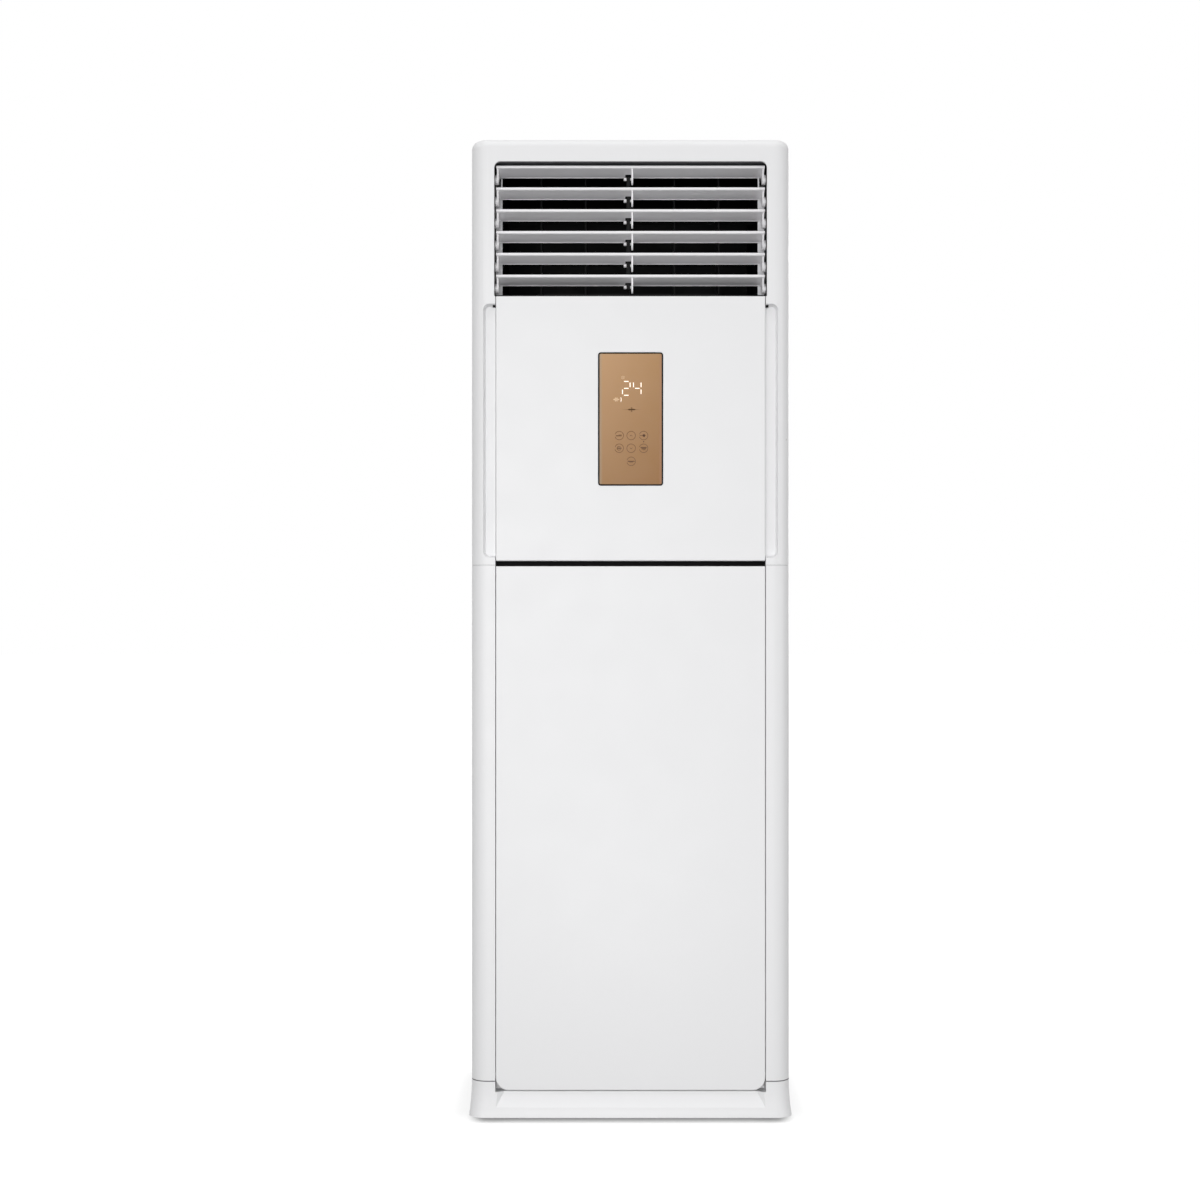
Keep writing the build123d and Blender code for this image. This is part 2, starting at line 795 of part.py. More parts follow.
with BuildPart() as panel_catches:
    for side in (-1, 1):
        middle = side * catch_spacing / 2
        catch_top = lower_panel_top - panel_skin - fit_gap
        span(
            (middle - catch_width / 2, middle + catch_width / 2),
            (crossmember_y - catch_reach, crossmember_y),
            (catch_top - catch_height, catch_top),
        )
    tips = panel_catches.edges().filter_by(Axis.X).group_by(Axis.Y)[0]
    fillet(tips, catch_height / 4)
keep("panel_catches", panel_catches.part)


# ---------------------------------------------------------------- front panels
def panel_shell(width, bottom, height, corner, top_corner):
    """A shallow moulded panel: flat face, softened edges, side walls running back."""
    with BuildPart() as shell:
        with BuildSketch(facing(front_y + panel_depth)) as outline:
            with Locations((0, bottom + height / 2)):
                Rectangle(width, height)
            fillet(outline.vertices().group_by(Axis.Y)[0], corner)
            fillet(outline.vertices().group_by(Axis.Y)[-1], top_corner)
        extrude(amount=panel_depth)
        fillet(shell.faces().sort_by(Axis.Y)[0].edges(), panel_edge_radius)
        with BuildSketch(facing(front_y + panel_depth)) as inside:
            with Locations((0, bottom + height / 2)):
                Rectangle(width - 2 * panel_skin, height - 2 * panel_skin)
        extrude(amount=panel_depth - panel_skin, mode=Mode.SUBTRACT)
    return shell.part


def control_outline(y, inset):
    """Rounded outline of the control panel, at depth y and drawn in by inset."""
    with BuildSketch(facing(y)) as outline:
        with Locations((0, control_centre_height)):
            RectangleRounded(
                control_width - 2 * inset,
                control_height - 2 * inset,
                max(control_corner - inset, glass_corner),
            )
    return outline.sketch


with BuildPart() as upper_front_panel:
    add(
        panel_shell(
            upper_panel_width,
            upper_panel_bottom,
            upper_panel_height,
            upper_panel_corner,
            upper_panel_corner,
        )
    )
    # studs that hold the panel in the crossmember and the louver frame
    with BuildSketch(facing(front_y + panel_skin + stud_reach)) as studs:
        with Locations((0, upper_panel_bottom + 2 * stud_radius)):
            with GridLocations(stud_spacing, 1, 2, 1):
                Circle(stud_radius)
        with Locations((0, upper_panel_top - 2 * stud_radius - panel_skin)):
            with GridLocations(stud_spacing, 1, 2, 1):
                Circle(stud_radius)
    extrude(amount=stud_reach)
    extrude(control_outline(front_y + panel_depth, 0), amount=2 * panel_depth, mode=Mode.SUBTRACT)
keep("upper_front_panel", upper_front_panel.part)

with BuildPart() as lower_front_panel:
    add(
        panel_shell(
            lower_panel_width,
            lower_panel_bottom,
            lower_panel_height,
            lower_panel_corner,
            upper_panel_corner,
        )
    )
    for side in (-1, 1):
        seat_x = side * (lower_panel_width / 2 - panel_skin / 2)
        middle = seat_x + side * hinge_pin_length / 2
        place = (middle, front_y + hinge_depth, hinge_height)
        with Locations(Location(place, (0, 90, 0))):
            Cylinder(hinge_pin_radius, hinge_pin_length)
keep("lower_front_panel", lower_front_panel.part)

bezel_y = front_y - bezel_proud
with BuildPart() as control_bezel:
    extrude(control_outline(bezel_y + bezel_depth, fit_gap), amount=bezel_depth)
    extrude(
        control_outline(bezel_y + glass_thickness + bezel_proud - glass_proud, bezel_rim),
        amount=past,
        mode=Mode.SUBTRACT,
    )
    extrude(
        control_outline(bezel_y + bezel_depth, 2 * bezel_rim),
        amount=past,
        mode=Mode.SUBTRACT,
    )
keep("control_bezel", control_bezel.part)

glass_back_y = bezel_y + glass_thickness + bezel_proud - glass_proud
with BuildPart() as control_glass:
    extrude(control_outline(glass_back_y, bezel_rim), amount=glass_thickness)
keep("control_glass", control_glass.part)

with BuildPart() as display_board:
    board_width = control_width - 4 * bezel_rim - 2 * fit_gap
    span(
        (-board_width / 2, board_width / 2),
        (glass_back_y, glass_back_y + board_thickness),
        (
            control_centre_height - control_height / 2 + board_margin,
            control_centre_height + control_height / 2 - board_margin,
        ),
    )
keep("display_board", display_board.part)


# ---------------------------------------------------------------- louver frame and duct
with BuildPart() as louver_frame:
    extrude(
        outlet_ring_outline(shell_wall), amount=frame_depth + past, mode=Mode.ADD
    )
    ring_front = front_y + outlet_lip
    span(
        (-cabinet_width, cabinet_width),
        (front_y - cabinet_depth, ring_front),
        (0, cabinet_height),
        mode=Mode.SUBTRACT,
    )
    span(
        (-cabinet_width, cabinet_width),
        (frame_back_y, rear_y + past),
        (0, cabinet_height),
        mode=Mode.SUBTRACT,
    )
    # the way through, above the sill
    with BuildSketch(facing(frame_back_y + past)) as way:
        with Locations((0, (sill_top + outlet_top) / 2)):
            Rectangle(outlet_width, outlet_top - sill_top)
        fillet(way.vertices().group_by(Axis.Y)[-1], ring_corner)
    extrude(amount=2 * (frame_depth + past), mode=Mode.SUBTRACT)
    # room in front of the sill for the rim of the upper panel
    span(
        (-half_outlet, half_outlet),
        (front_y - past, front_y + panel_depth + fit_gap),
        (0, sill_top),
        mode=Mode.SUBTRACT,
    )
    with BuildSketch(facing(front_y + sill_depth)) as upper_stud_holes:
        with Locations((0, upper_panel_top - 2 * stud_radius - panel_skin)):
            with GridLocations(stud_spacing, 1, 2, 1):
                Circle(stud_radius + stud_clearance)
    extrude(amount=2 * past, mode=Mode.SUBTRACT)
    # bearings of the louvers
    with BuildSketch(Plane.YZ.offset(-half_width)) as bearings:
        for index in range(louver_count):
            with Locations((pivot_y, top_pivot_z - index * louver_pitch)):
                Circle(louver_pin_radius + pin_clearance)
    extrude(amount=cabinet_width, mode=Mode.SUBTRACT)
keep("louver_frame", louver_frame.part)

duct_outer = half_duct + duct_wall
with BuildPart() as outlet_duct:
    with BuildSketch(Plane.YZ.offset(-duct_outer)) as side_view:
        with Locations((frame_back_y, sill_bottom)):
            Rectangle(
                duct_depth,
                duct_ceiling + duct_wall - sill_bottom,
                align=(Align.MIN, Align.MIN),
            )
        corner = side_view.vertices().group_by(Axis.Y)[-1].sort_by(Axis.X)[-1]
        fillet(corner, duct_curve)
    extrude(amount=2 * duct_outer)
    with BuildSketch(Plane.YZ.offset(-half_duct)) as inner_view:
        with Locations((frame_back_y - past, sill_bottom - past)):
            Rectangle(
                duct_depth + past - duct_wall,
                duct_ceiling - sill_bottom + past,
                align=(Align.MIN, Align.MIN),
            )
        corner = inner_view.vertices().group_by(Axis.Y)[-1].sort_by(Axis.X)[-1]
        fillet(corner, duct_curve - duct_wall)
    extrude(amount=2 * half_duct, mode=Mode.SUBTRACT)
    # floor that carries the vanes
    span(
        (-duct_outer, duct_outer),
        (frame_back_y, frame_back_y + duct_floor_depth),
        (sill_top - duct_wall, sill_top),
    )
    # flanges against the louver frame
    for side in (-1, 1):
        flange_inner = half_duct
        flange_outer = half_outlet + shell_wall
        with BuildSketch(facing(frame_back_y + duct_wall)) as flange:
            with Locations((side * (flange_inner + flange_outer) / 2, sill_bottom)):
                Rectangle(
                    flange_outer - flange_inner,
                    top_pivot_z - flange_drop - sill_bottom,
                    align=(Align.CENTER, Align.MIN),
                )
            inner_corner = flange.vertices().group_by(Axis.Y)[-1].sort_by(Axis.X)
            chamfer(inner_corner[0 if side > 0 else -1], flange_corner)
        extrude(amount=duct_wall)
        # shelf out to the side panels
        span(
            sorted((side * duct_outer, side * side_inner_x)),
            (frame_back_y, duct_back_y),
            (sill_bottom, sill_bottom + duct_wall),
        )
    # guard bars
    guard_pitch = (duct_ceiling - sill_top) / (guard_bar_count + 1)
    for index in range(guard_bar_count):
        height = sill_top + (index + 1) * guard_pitch
        with Locations(
            Location((0, front_y + guard_bar_depth, height), (0, 90, 0))
        ):
            Cylinder(guard_bar_radius, 2 * half_duct + duct_wall)
    # bearings of the vanes
    with BuildSketch(Plane.XY.offset(sill_bottom)) as vane_bearings:
        with Locations((0, vane_y)):
            with GridLocations(vane_pitch, 1, vane_count, 1):
                Circle(vane_pin_radius + pin_clearance)
    extrude(amount=cabinet_height - sill_bottom, mode=Mode.SUBTRACT)
keep("outlet_duct", outlet_duct.part)

# ---------------------------------------------------------------- louvers and link rod
chord_run = louver_chord - nose_radius - tail_radius
tail_y = -pivot_setback + chord_run * cos(radians(louver_tilt))
tail_z = pivot_drop - chord_run * sin(radians(louver_tilt))


def hull_of(*circles):
    """Smooth outline drawn tightly round several circles, each (y, z, radius)."""
    with BuildSketch() as outline:
        with BuildLine():
            for y, z, radius in circles:
                CenterArc((y, z), radius, 0, 360)
        make_hull()
    return outline.sketch


def louver(pivot_z, driven):
    """One louver: a blade with two hanging end plates, a centre rib and its crank pin."""
    origin = Vector(0, pivot_y, pivot_z)
    across = Plane(origin, x_dir=(0, 1, 0), z_dir=(1, 0, 0))
    nose = (-pivot_setback, pivot_drop, nose_radius)
    tail = (tail_y, tail_z, tail_radius)
    crank = (crank_setback, crank_rise, crank_radius)
    leaf = hull_of(
        (-pivot_setback, pivot_drop, nose_radius / 2), tail, (0, 0, leaf_radius)
    )
    rib = hull_of(
        (-pivot_setback, pivot_drop, nose_radius / 2), tail, (0, 0, leaf_radius), crank
    )
    rib_left = rib_centre - leaf_thickness / 2
    rod_left = rod_centre - rod_width / 2
    leaf_outer = leaf_spacing / 2 + leaf_thickness / 2
    with BuildPart() as piece:
        with BuildSketch(across.offset(-louver_length / 2)):
            add(hull_of(nose, tail))
            with Locations((tail_y + tail_radius, tail_z)):
                Rectangle(
                    lip_thickness, tail_radius + lip_drop, align=(Align.MAX, Align.MAX)
                )
        extrude(amount=louver_length)
        # notch for the link rod
        with BuildSketch(across.offset(rod_left - notch_margin)):
            with Locations((tail_y + tail_radius, tail_z)):
                Rectangle(2 * notch_depth, 2 * notch_depth)
        extrude(amount=rib_left - rod_left + notch_margin, mode=Mode.SUBTRACT)
        for side in (-1, 1):
            middle = side * leaf_spacing / 2
            with BuildSketch(across.offset(middle - leaf_thickness / 2)):
                add(leaf)
            extrude(amount=leaf_thickness)
            # boss, and the pin that turns in the louver frame
            boss_end = half_outlet - 4 * fit_gap
            with BuildSketch(across.offset(side * leaf_outer)):
                Circle(leaf_radius)
            extrude(amount=side * (boss_end - leaf_outer))
            with BuildSketch(across.offset(side * boss_end)):
                Circle(louver_pin_radius)
            extrude(amount=side * (half_outlet + shell_wall - boss_end))
        if driven:
            with BuildSketch(across.offset(half_outlet + shell_wall)):
                Circle(spindle_radius)
            extrude(amount=spindle_length)
        with BuildSketch(across.offset(rib_left)):
            add(rib)
        extrude(amount=leaf_thickness)
        # crank pin with its snap head
        with BuildSketch(across.offset(rib_left)):
            with Locations((crank_setback, crank_rise)):
                Circle(crank_pin_radius)
        extrude(amount=-(rib_left - rod_left + fit_gap))
        with BuildSketch(across.offset(rod_left - fit_gap)):
            with Locations((crank_setback, crank_rise)):
                Circle(crank_head_radius)
        extrude(amount=-crank_head_length)
    return piece.part


for number in range(1, louver_count + 1):
    pivot_z = top_pivot_z - (number - 1) * louver_pitch
    keep(f"louver_{number}", louver(pivot_z, number == driven_louver))

top_crank_z = top_pivot_z + crank_rise
bottom_crank_z = top_crank_z - (louver_count - 1) * louver_pitch
with BuildPart() as louver_link_rod:
    with BuildSketch(Plane.YZ.offset(rod_centre - rod_width / 2)) as rod_outline:
        with Locations((pivot_y + crank_setback, (top_crank_z + bottom_crank_z) / 2)):
            SlotOverall(
                top_crank_z - bottom_crank_z + 2 * rod_end, rod_thickness, rotation=90
            )
        for index in range(louver_count):
            with Locations((pivot_y + crank_setback, top_crank_z - index * louver_pitch)):
                Circle(crank_pin_radius + pin_clearance, mode=Mode.SUBTRACT)
    extrude(amount=rod_width)
keep("louver_link_rod", louver_link_rod.part)


def stepper(plane):
    """Stepper motor that stands on the plane, with two ears and a socket for the driven pin."""
    with BuildPart() as motor:
        with BuildSketch(plane):
            Circle(stepper_radius)
        extrude(amount=stepper_length)
        with BuildSketch(plane):
            SlotCenterToCenter(stepper_ear, stepper_ear_width)
            with GridLocations(stepper_ear, 1, 2, 1):
                Circle(stepper_ear_width / 4, mode=Mode.SUBTRACT)
            Circle(stepper_radius)
        extrude(amount=stepper_ear_thickness)
        with BuildSketch(plane):
            Circle(spindle_radius + pin_clearance)
        extrude(amount=stepper_socket, mode=Mode.SUBTRACT)
    return motor.part


driven_pivot_z = top_pivot_z - (driven_louver - 1) * louver_pitch
motor_seat = Vector(half_outlet + shell_wall, pivot_y, driven_pivot_z)
keep(
    "louver_motor",
    stepper(Plane(motor_seat, x_dir=(0, 0, 1), z_dir=(1, 0, 0))),
)


# ---------------------------------------------------------------- upright vanes
def vane(x, driven):
    """One upright vane with its pins, and a notch crossed by the tie pin."""
    low = sill_top + vane_gap
    high = duct_ceiling - vane_gap
    tie_z = sill_top + tie_height
    with BuildPart() as piece:
        with BuildSketch(Plane((x, vane_y, low))):
            SlotOverall(vane_chord, vane_thickness, rotation=90)
        extrude(amount=high - low)
        with BuildSketch(Plane((x, vane_y, tie_z - tie_notch_height / 2))):
            with Locations((0, vane_chord / 2)):
                Rectangle(2 * vane_thickness, 2 * (vane_chord / 2 - vane_arm / 2))
        extrude(amount=tie_notch_height, mode=Mode.SUBTRACT)
        with BuildSketch(Plane((x, vane_y + vane_arm, tie_z - tie_notch_height / 2))):
            Circle(tie_pin_radius)
        extrude(amount=tie_notch_height)
        top_reach = duct_wall + (stepper_socket - socket_gap if driven else 0)
        with BuildSketch(Plane((x, vane_y, sill_top - duct_wall))):
            Circle(vane_pin_radius)
        extrude(amount=low - sill_top + duct_wall)
        with BuildSketch(Plane((x, vane_y, high))):
            Circle(vane_pin_radius)
        extrude(amount=duct_ceiling - high + top_reach)
    return piece.part


for number in range(1, vane_count + 1):
    vane_x = (number - (vane_count + 1) / 2) * vane_pitch
    keep(f"vane_{number}", vane(vane_x, number == driven_vane))

with BuildPart() as vane_tie_bar:
    tie_low = sill_top + tie_height - tie_thickness / 2
    with BuildSketch(Plane((0, vane_y + vane_arm, tie_low))) as bar:
        SlotOverall((vane_count - 1) * vane_pitch + 2 * tie_width, tie_width)
        with GridLocations(vane_pitch, 1, vane_count, 1):
            Circle(tie_pin_radius + pin_clearance, mode=Mode.SUBTRACT)
    extrude(amount=tie_thickness)
keep("vane_tie_bar", vane_tie_bar.part)

driven_vane_x = (driven_vane - (vane_count + 1) / 2) * vane_pitch
keep("vane_motor", stepper(Plane((driven_vane_x, vane_y, duct_ceiling + duct_wall))))


# ---------------------------------------------------------------- fan scroll
scroll_x = fan_x - scroll_step / 2
scroll_z = fan_height - scroll_step / 2
scroll_right = scroll_x + scroll_start_radius + 3 * scroll_step


def scroll_outline(y, top):
    """Snail outline of three quarter turns whose radius grows by a step each, open upwards."""
    with BuildSketch(facing(y)) as outline:
        with BuildLine():
            radius = scroll_start_radius
            CenterArc((scroll_x, scroll_z), radius, 90, 90)
            CenterArc(
                (scroll_x + scroll_step, scroll_z), radius + scroll_step, 180, 90
            )
            CenterArc(
                (scroll_x + scroll_step, scroll_z + scroll_step),
                radius + 2 * scroll_step,
                270,
                90,
            )
            Polyline(
                (scroll_right, scroll_z + scroll_step),
                (scroll_right, top),
                (scroll_x, top),
                (scroll_x, scroll_z + radius),
            )
        make_face()
        tongue = outline.vertices().sort_by_distance((scroll_x, scroll_z + radius))[0]
        fillet(tongue, scroll_tongue_radius)
    return outline.sketch


def fan_disc(y, radius):
    """A round outline about the fan's axis, at depth y."""
    with BuildSketch(facing(y)) as outline:
        with Locations((fan_x, fan_height)):
            Circle(radius)
    return outline.sketch


with BuildPart() as fan_scroll:
    with BuildSketch(facing(scroll_rear_y + scroll_wall)):
        add(
            offset(
                scroll_outline(0, deck_height - scroll_wall),
                amount=scroll_wall,
                mode=Mode.PRIVATE,
            )
        )
    extrude(amount=scroll_depth + 2 * scroll_wall)
    # flange under the deck
    span(
        (scroll_x - scroll_flange, scroll_right + scroll_flange),
        (scroll_front_y - scroll_flange, scroll_rear_y + scroll_flange),
        (deck_height - scroll_wall, deck_height),
    )
    extrude(
        scroll_outline(scroll_rear_y, deck_height + past),
        amount=scroll_depth,
        mode=Mode.SUBTRACT,
    )
    # eye in front, hole for the motor behind
    extrude(fan_disc(scroll_front_y + past / 2, eye_radius), amount=past, mode=Mode.SUBTRACT)
    extrude(
        fan_disc(scroll_rear_y + past / 2, motor_hole_radius),
        amount=past,
        mode=Mode.SUBTRACT,
    )
keep("fan_scroll", fan_scroll.part)

fan_axis = Axis((fan_x, 0, fan_height), (0, 1, 0))
fan_plane = Plane((fan_x, 0, fan_height))
bell_seat_y = scroll_front_y - scroll_wall

with BuildPart() as bell_mouth:
    with BuildSketch(fan_plane) as lip:
        with BuildLine():
            centre = (eye_radius, bell_seat_y - scroll_wall + bell_radius)
            outer = CenterArc(centre, bell_radius, 180, 90)
            inner = CenterArc(centre, bell_radius - scroll_wall, 180, 90)
            Line(outer @ 0, inner @ 0)
            Line(outer @ 1, inner @ 1)
        make_face()
        with Locations((eye_radius, bell_seat_y)):
            Rectangle(bell_flange, scroll_wall, align=(Align.MIN, Align.MAX))
    revolve(axis=fan_axis)
keep("bell_mouth", bell_mouth.part)

with BuildPart() as fan_deck:
    span(
        (-side_inner_x, side_inner_x),
        (frame_y + sheet, rear_skin_y - 2 * sheet),
        (deck_height, deck_height + sheet),
    )
    span(
        (scroll_x, scroll_right),
        (scroll_front_y, scroll_rear_y),
        (deck_height - past, deck_height + past),
        mode=Mode.SUBTRACT,
    )
    # slot for the refrigerant pipes
    gas_pipe_y = coil_centre_y + sin(lean) * gas_pipe_climb
    liquid_pipe_y = coil_centre_y + sin(lean) * liquid_pipe_climb
    with BuildSketch(Plane.XY.offset(deck_height)):
        with Locations((pipe_run_x, (gas_pipe_y + liquid_pipe_y) / 2)):
            SlotOverall(
                gas_pipe_y - liquid_pipe_y + 2 * (gas_pipe_radius + deck_pipe_margin),
                2 * (gas_pipe_radius + deck_pipe_margin),
                rotation=90,
            )
    extrude(amount=sheet, mode=Mode.SUBTRACT)
keep("fan_deck", fan_deck.part)


# ---------------------------------------------------------------- fan wheel and motor
with BuildPart() as fan_wheel:
    # dished back disc with its hub
    with BuildSketch(fan_plane) as dish:
        with BuildLine():
            dish_y = wheel_rear_y - dish_depth
            Polyline(
                (shaft_radius + pin_clearance, hub_front_y),
                (hub_radius, hub_front_y),
                (hub_radius, dish_y - wheel_disc),
                (dish_radius, dish_y - wheel_disc),
                (dish_rim_radius, wheel_rear_y - wheel_disc),
                (wheel_radius, wheel_rear_y - wheel_disc),
                (wheel_radius, wheel_rear_y),
                (dish_rim_radius - wheel_disc, wheel_rear_y),
                (dish_radius - wheel_disc, dish_y),
                (hub_radius, dish_y),
                (hub_radius, hub_rear_y),
                (shaft_radius + pin_clearance, hub_rear_y),
                close=True,
            )
        make_face()
        # front ring round the eye
        with Locations((wheel_eye_radius, wheel_front_y)):
            Rectangle(
                wheel_radius - wheel_eye_radius,
                wheel_disc,
                align=(Align.MIN, Align.MIN),
            )
    revolve(axis=fan_axis)
    # forward curved blades between them
    with BuildSketch(facing(wheel_rear_y - wheel_disc)) as blade_ring:
        with BuildSketch(mode=Mode.PRIVATE) as blade:
            with BuildLine():
                sweep_angle = radians(blade_sweep)
                root = Vector(wheel_eye_radius, 0)
                tip = Vector(
                    (wheel_radius - wheel_disc) * cos(sweep_angle),
                    (wheel_radius - wheel_disc) * sin(sweep_angle),
                )
                across = Vector(0, blade_thickness)
                bow = (tip - root).length
                inside = RadiusArc(root, tip, bow)
                outside = RadiusArc(root + across, tip + across, bow)
                Line(inside @ 0, outside @ 0)
                Line(inside @ 1, outside @ 1)
            make_face()
        with Locations((fan_x, fan_height)):
            with PolarLocations(0, wheel_blade_count):
                add(blade.sketch)
    extrude(amount=wheel_width - 2 * wheel_disc)
keep("fan_wheel", fan_wheel.part)

with BuildPart() as fan_shaft:
    extrude(fan_disc(shaft_rear_y, shaft_radius), amount=shaft_rear_y - shaft_front_y)
    chamfer(fan_shaft.faces().sort_by(Axis.Y)[0].edges(), shaft_chamfer)
keep("fan_shaft", fan_shaft.part)

with BuildPart() as wheel_nut:
    with BuildSketch(facing(hub_front_y)):
        with Locations((fan_x, fan_height)):
            RegularPolygon(nut_across_flats / 2, 6, major_radius=False)
            Circle(shaft_radius + pin_clearance, mode=Mode.SUBTRACT)
    extrude(amount=nut_thickness)
keep("wheel_nut", wheel_nut.part)

bracket_y = scroll_rear_y + scroll_wall
with BuildPart() as fan_motor:
    extrude(fan_disc(motor_rear_y, motor_radius), amount=motor_rear_y - motor_front_y)
    fillet(fan_motor.edges().filter_by(GeomType.CIRCLE), motor_radius / 8)
    extrude(
        fan_disc(motor_front_y, motor_boss_radius), amount=motor_boss_length
    )
    extrude(
        fan_disc(bracket_y + 2 * bracket_thickness, motor_flange_radius),
        amount=bracket_thickness,
    )
    extrude(
        fan_disc(shaft_rear_y + fit_gap, shaft_radius + pin_clearance),
        amount=shaft_rear_y - motor_front_y + past,
        mode=Mode.SUBTRACT,
    )
keep("fan_motor", fan_motor.part)

with BuildPart() as motor_bracket:
    with BuildSketch(facing(bracket_y + bracket_thickness)) as bracket_outline:
        with Locations((fan_x, fan_height)):
            Circle(motor_flange_radius)
            with PolarLocations(0, bracket_arm_count):
                SlotOverall(2 * bracket_radius, motor_radius / 2)
            Circle(motor_radius + fit_gap, mode=Mode.SUBTRACT)
    extrude(amount=bracket_thickness)
keep("motor_bracket", motor_bracket.part)


# ---------------------------------------------------------------- side intakes
rim_half_width = intake_width / 2 - fit_gap
rim_half_height = intake_height / 2 - fit_gap
intake_middle = (intake_bottom + intake_top) / 2
with BuildPart() as intake_grille_right:
    with BuildSketch(Plane.YZ.offset(half_width)) as face_plate:
        with Locations((intake_centre_y, intake_middle)):
            RectangleRounded(
                intake_width + 2 * grille_lip,
                intake_height + 2 * grille_lip,
                intake_corner + grille_lip,
            )
    extrude(amount=grille_lip_thickness)
    outer_edges = intake_grille_right.faces().sort_by(Axis.X)[-1].edges()
    fillet(outer_edges, grille_lip_thickness / 2)
    # rim that enters the window, with a shoulder for the filter
    with BuildSketch(Plane.YZ.offset(half_width - grille_rim_depth)) as rim:
        with Locations((intake_centre_y, intake_middle)):
            RectangleRounded(2 * rim_half_width, 2 * rim_half_height, intake_corner)
            Rectangle(
                2 * (rim_half_width - shell_wall),
                2 * (rim_half_height - shell_wall),
                mode=Mode.SUBTRACT,
            )
    extrude(amount=grille_rim_depth)
    slot_pitch = 2 * (rim_half_height - 2 * shell_wall) / grille_slot_count
    column_pitch = 2 * (rim_half_width - shell_wall) / grille_column_count
    with BuildSketch(Plane.YZ.offset(half_width - past)) as slots:
        with Locations((intake_centre_y, intake_middle)):
            with GridLocations(
                column_pitch, slot_pitch, grille_column_count, grille_slot_count
            ):
                Rectangle(column_pitch - 3 * shell_wall, slot_pitch * grille_slot_share)
    extrude(amount=2 * past, mode=Mode.SUBTRACT)
keep("intake_grille_right", intake_grille_right.part)
keep("intake_grille_left", mirrored(intake_grille_right.part))

net_width = 2 * (rim_half_width - shell_wall - fit_gap)
net_height = 2 * (rim_half_height - shell_wall - fit_gap)
filter_x = half_width - filter_thickness - fit_gap
with BuildPart() as intake_filter_right:
    with BuildSketch(Plane.YZ.offset(filter_x)) as net_frame:
        with Locations((intake_centre_y, intake_middle)):
            Rectangle(net_width, net_height)
            Rectangle(
                net_width - 2 * filter_border,
                net_height - 2 * filter_border,
                mode=Mode.SUBTRACT,
            )
            column_step = (net_width - filter_border) / filter_column_count
            row_step = (net_height - filter_border) / filter_row_count
            with GridLocations(column_step, 1, filter_column_count - 1, 1):
                Rectangle(filter_rib, net_height)
            with GridLocations(1, row_step, 1, filter_row_count - 1):
                Rectangle(net_width, filter_rib)
    extrude(amount=filter_thickness)
    with BuildSketch(Plane.YZ.offset(filter_x + filter_thickness / 2)) as net:
        with Locations((intake_centre_y, intake_middle)):
            Rectangle(net_width, net_height)
    extrude(amount=filter_net)
keep("intake_filter_right", intake_filter_right.part)
keep("intake_filter_left", mirrored(intake_filter_right.part))


# ---------------------------------------------------------------- evaporator
coil_centre = Vector(coil_x, coil_centre_y, coil_centre_height)
coil_up = Vector(0, sin(lean), cos(lean))
coil_face = Plane(coil_centre, x_dir=(1, 0, 0), z_dir=(0, -cos(lean), sin(lean)))
coil_foot = Plane(
    coil_centre - coil_up * (coil_length / 2), x_dir=(1, 0, 0), z_dir=coil_up
)
pan_bottom = crossmember_top
pan_front = frame_y + sheet + fit_gap
pan_half_width = half_width - sheet_flange - 2 * shell_wall
pan_inner_floor = pan_bottom + drain_pan_wall
half_coil = coil_width / 2

with BuildPart() as evaporator_fins:
    with BuildSketch(coil_foot) as comb:
        Rectangle(coil_width, coil_core)
        with GridLocations(fin_pitch, 1, int(coil_width / fin_pitch), 1):
            Rectangle(fin_thickness, coil_thickness)
    extrude(amount=coil_length)
keep("evaporator_fins", evaporator_fins.part)

with BuildPart() as evaporator_end_plates:
    for side in (-1, 1):
        inner_x = coil_x + side * half_coil
        side_middle = (inner_x, coil_centre_y, coil_centre_height)
        with BuildSketch(Plane(side_middle, x_dir=(0, 1, 0), z_dir=(1, 0, 0))):
            Rectangle(coil_thickness, coil_length, rotation=-coil_lean)
            foot_y = -sin(lean) * coil_length / 2
            foot_z = pan_inner_floor - coil_centre_height
            with Locations((foot_y, foot_z)):
                Rectangle(
                    coil_foot_depth,
                    -foot_z - cos(lean) * coil_length / 2 + coil_thickness,
                    align=(Align.CENTER, Align.MIN),
                )
        extrude(amount=side * end_plate)
keep("evaporator_end_plates", evaporator_end_plates.part)

with BuildPart() as evaporator_bends:
    for side in (-1, 1):
        plate_x = half_coil + end_plate
        for index in range(bend_count):
            along = (2 * index - bend_count + 1) * tube_pitch
            start = coil_face.from_local_coords((side * plate_x, along - tube_pitch / 2, 0))
            middle = coil_face.from_local_coords(
                (side * (plate_x + tube_pitch / 2), along, 0)
            )
            end = coil_face.from_local_coords((side * plate_x, along + tube_pitch / 2, 0))
            with BuildLine() as bend:
                ThreePointArc(start, middle, end)
            with BuildSketch(Plane(start, z_dir=(side, 0, 0))):
                RegularPolygon(tube_radius, tube_side_count)
            sweep(path=bend.line)
keep("evaporator_bends", evaporator_bends.part)

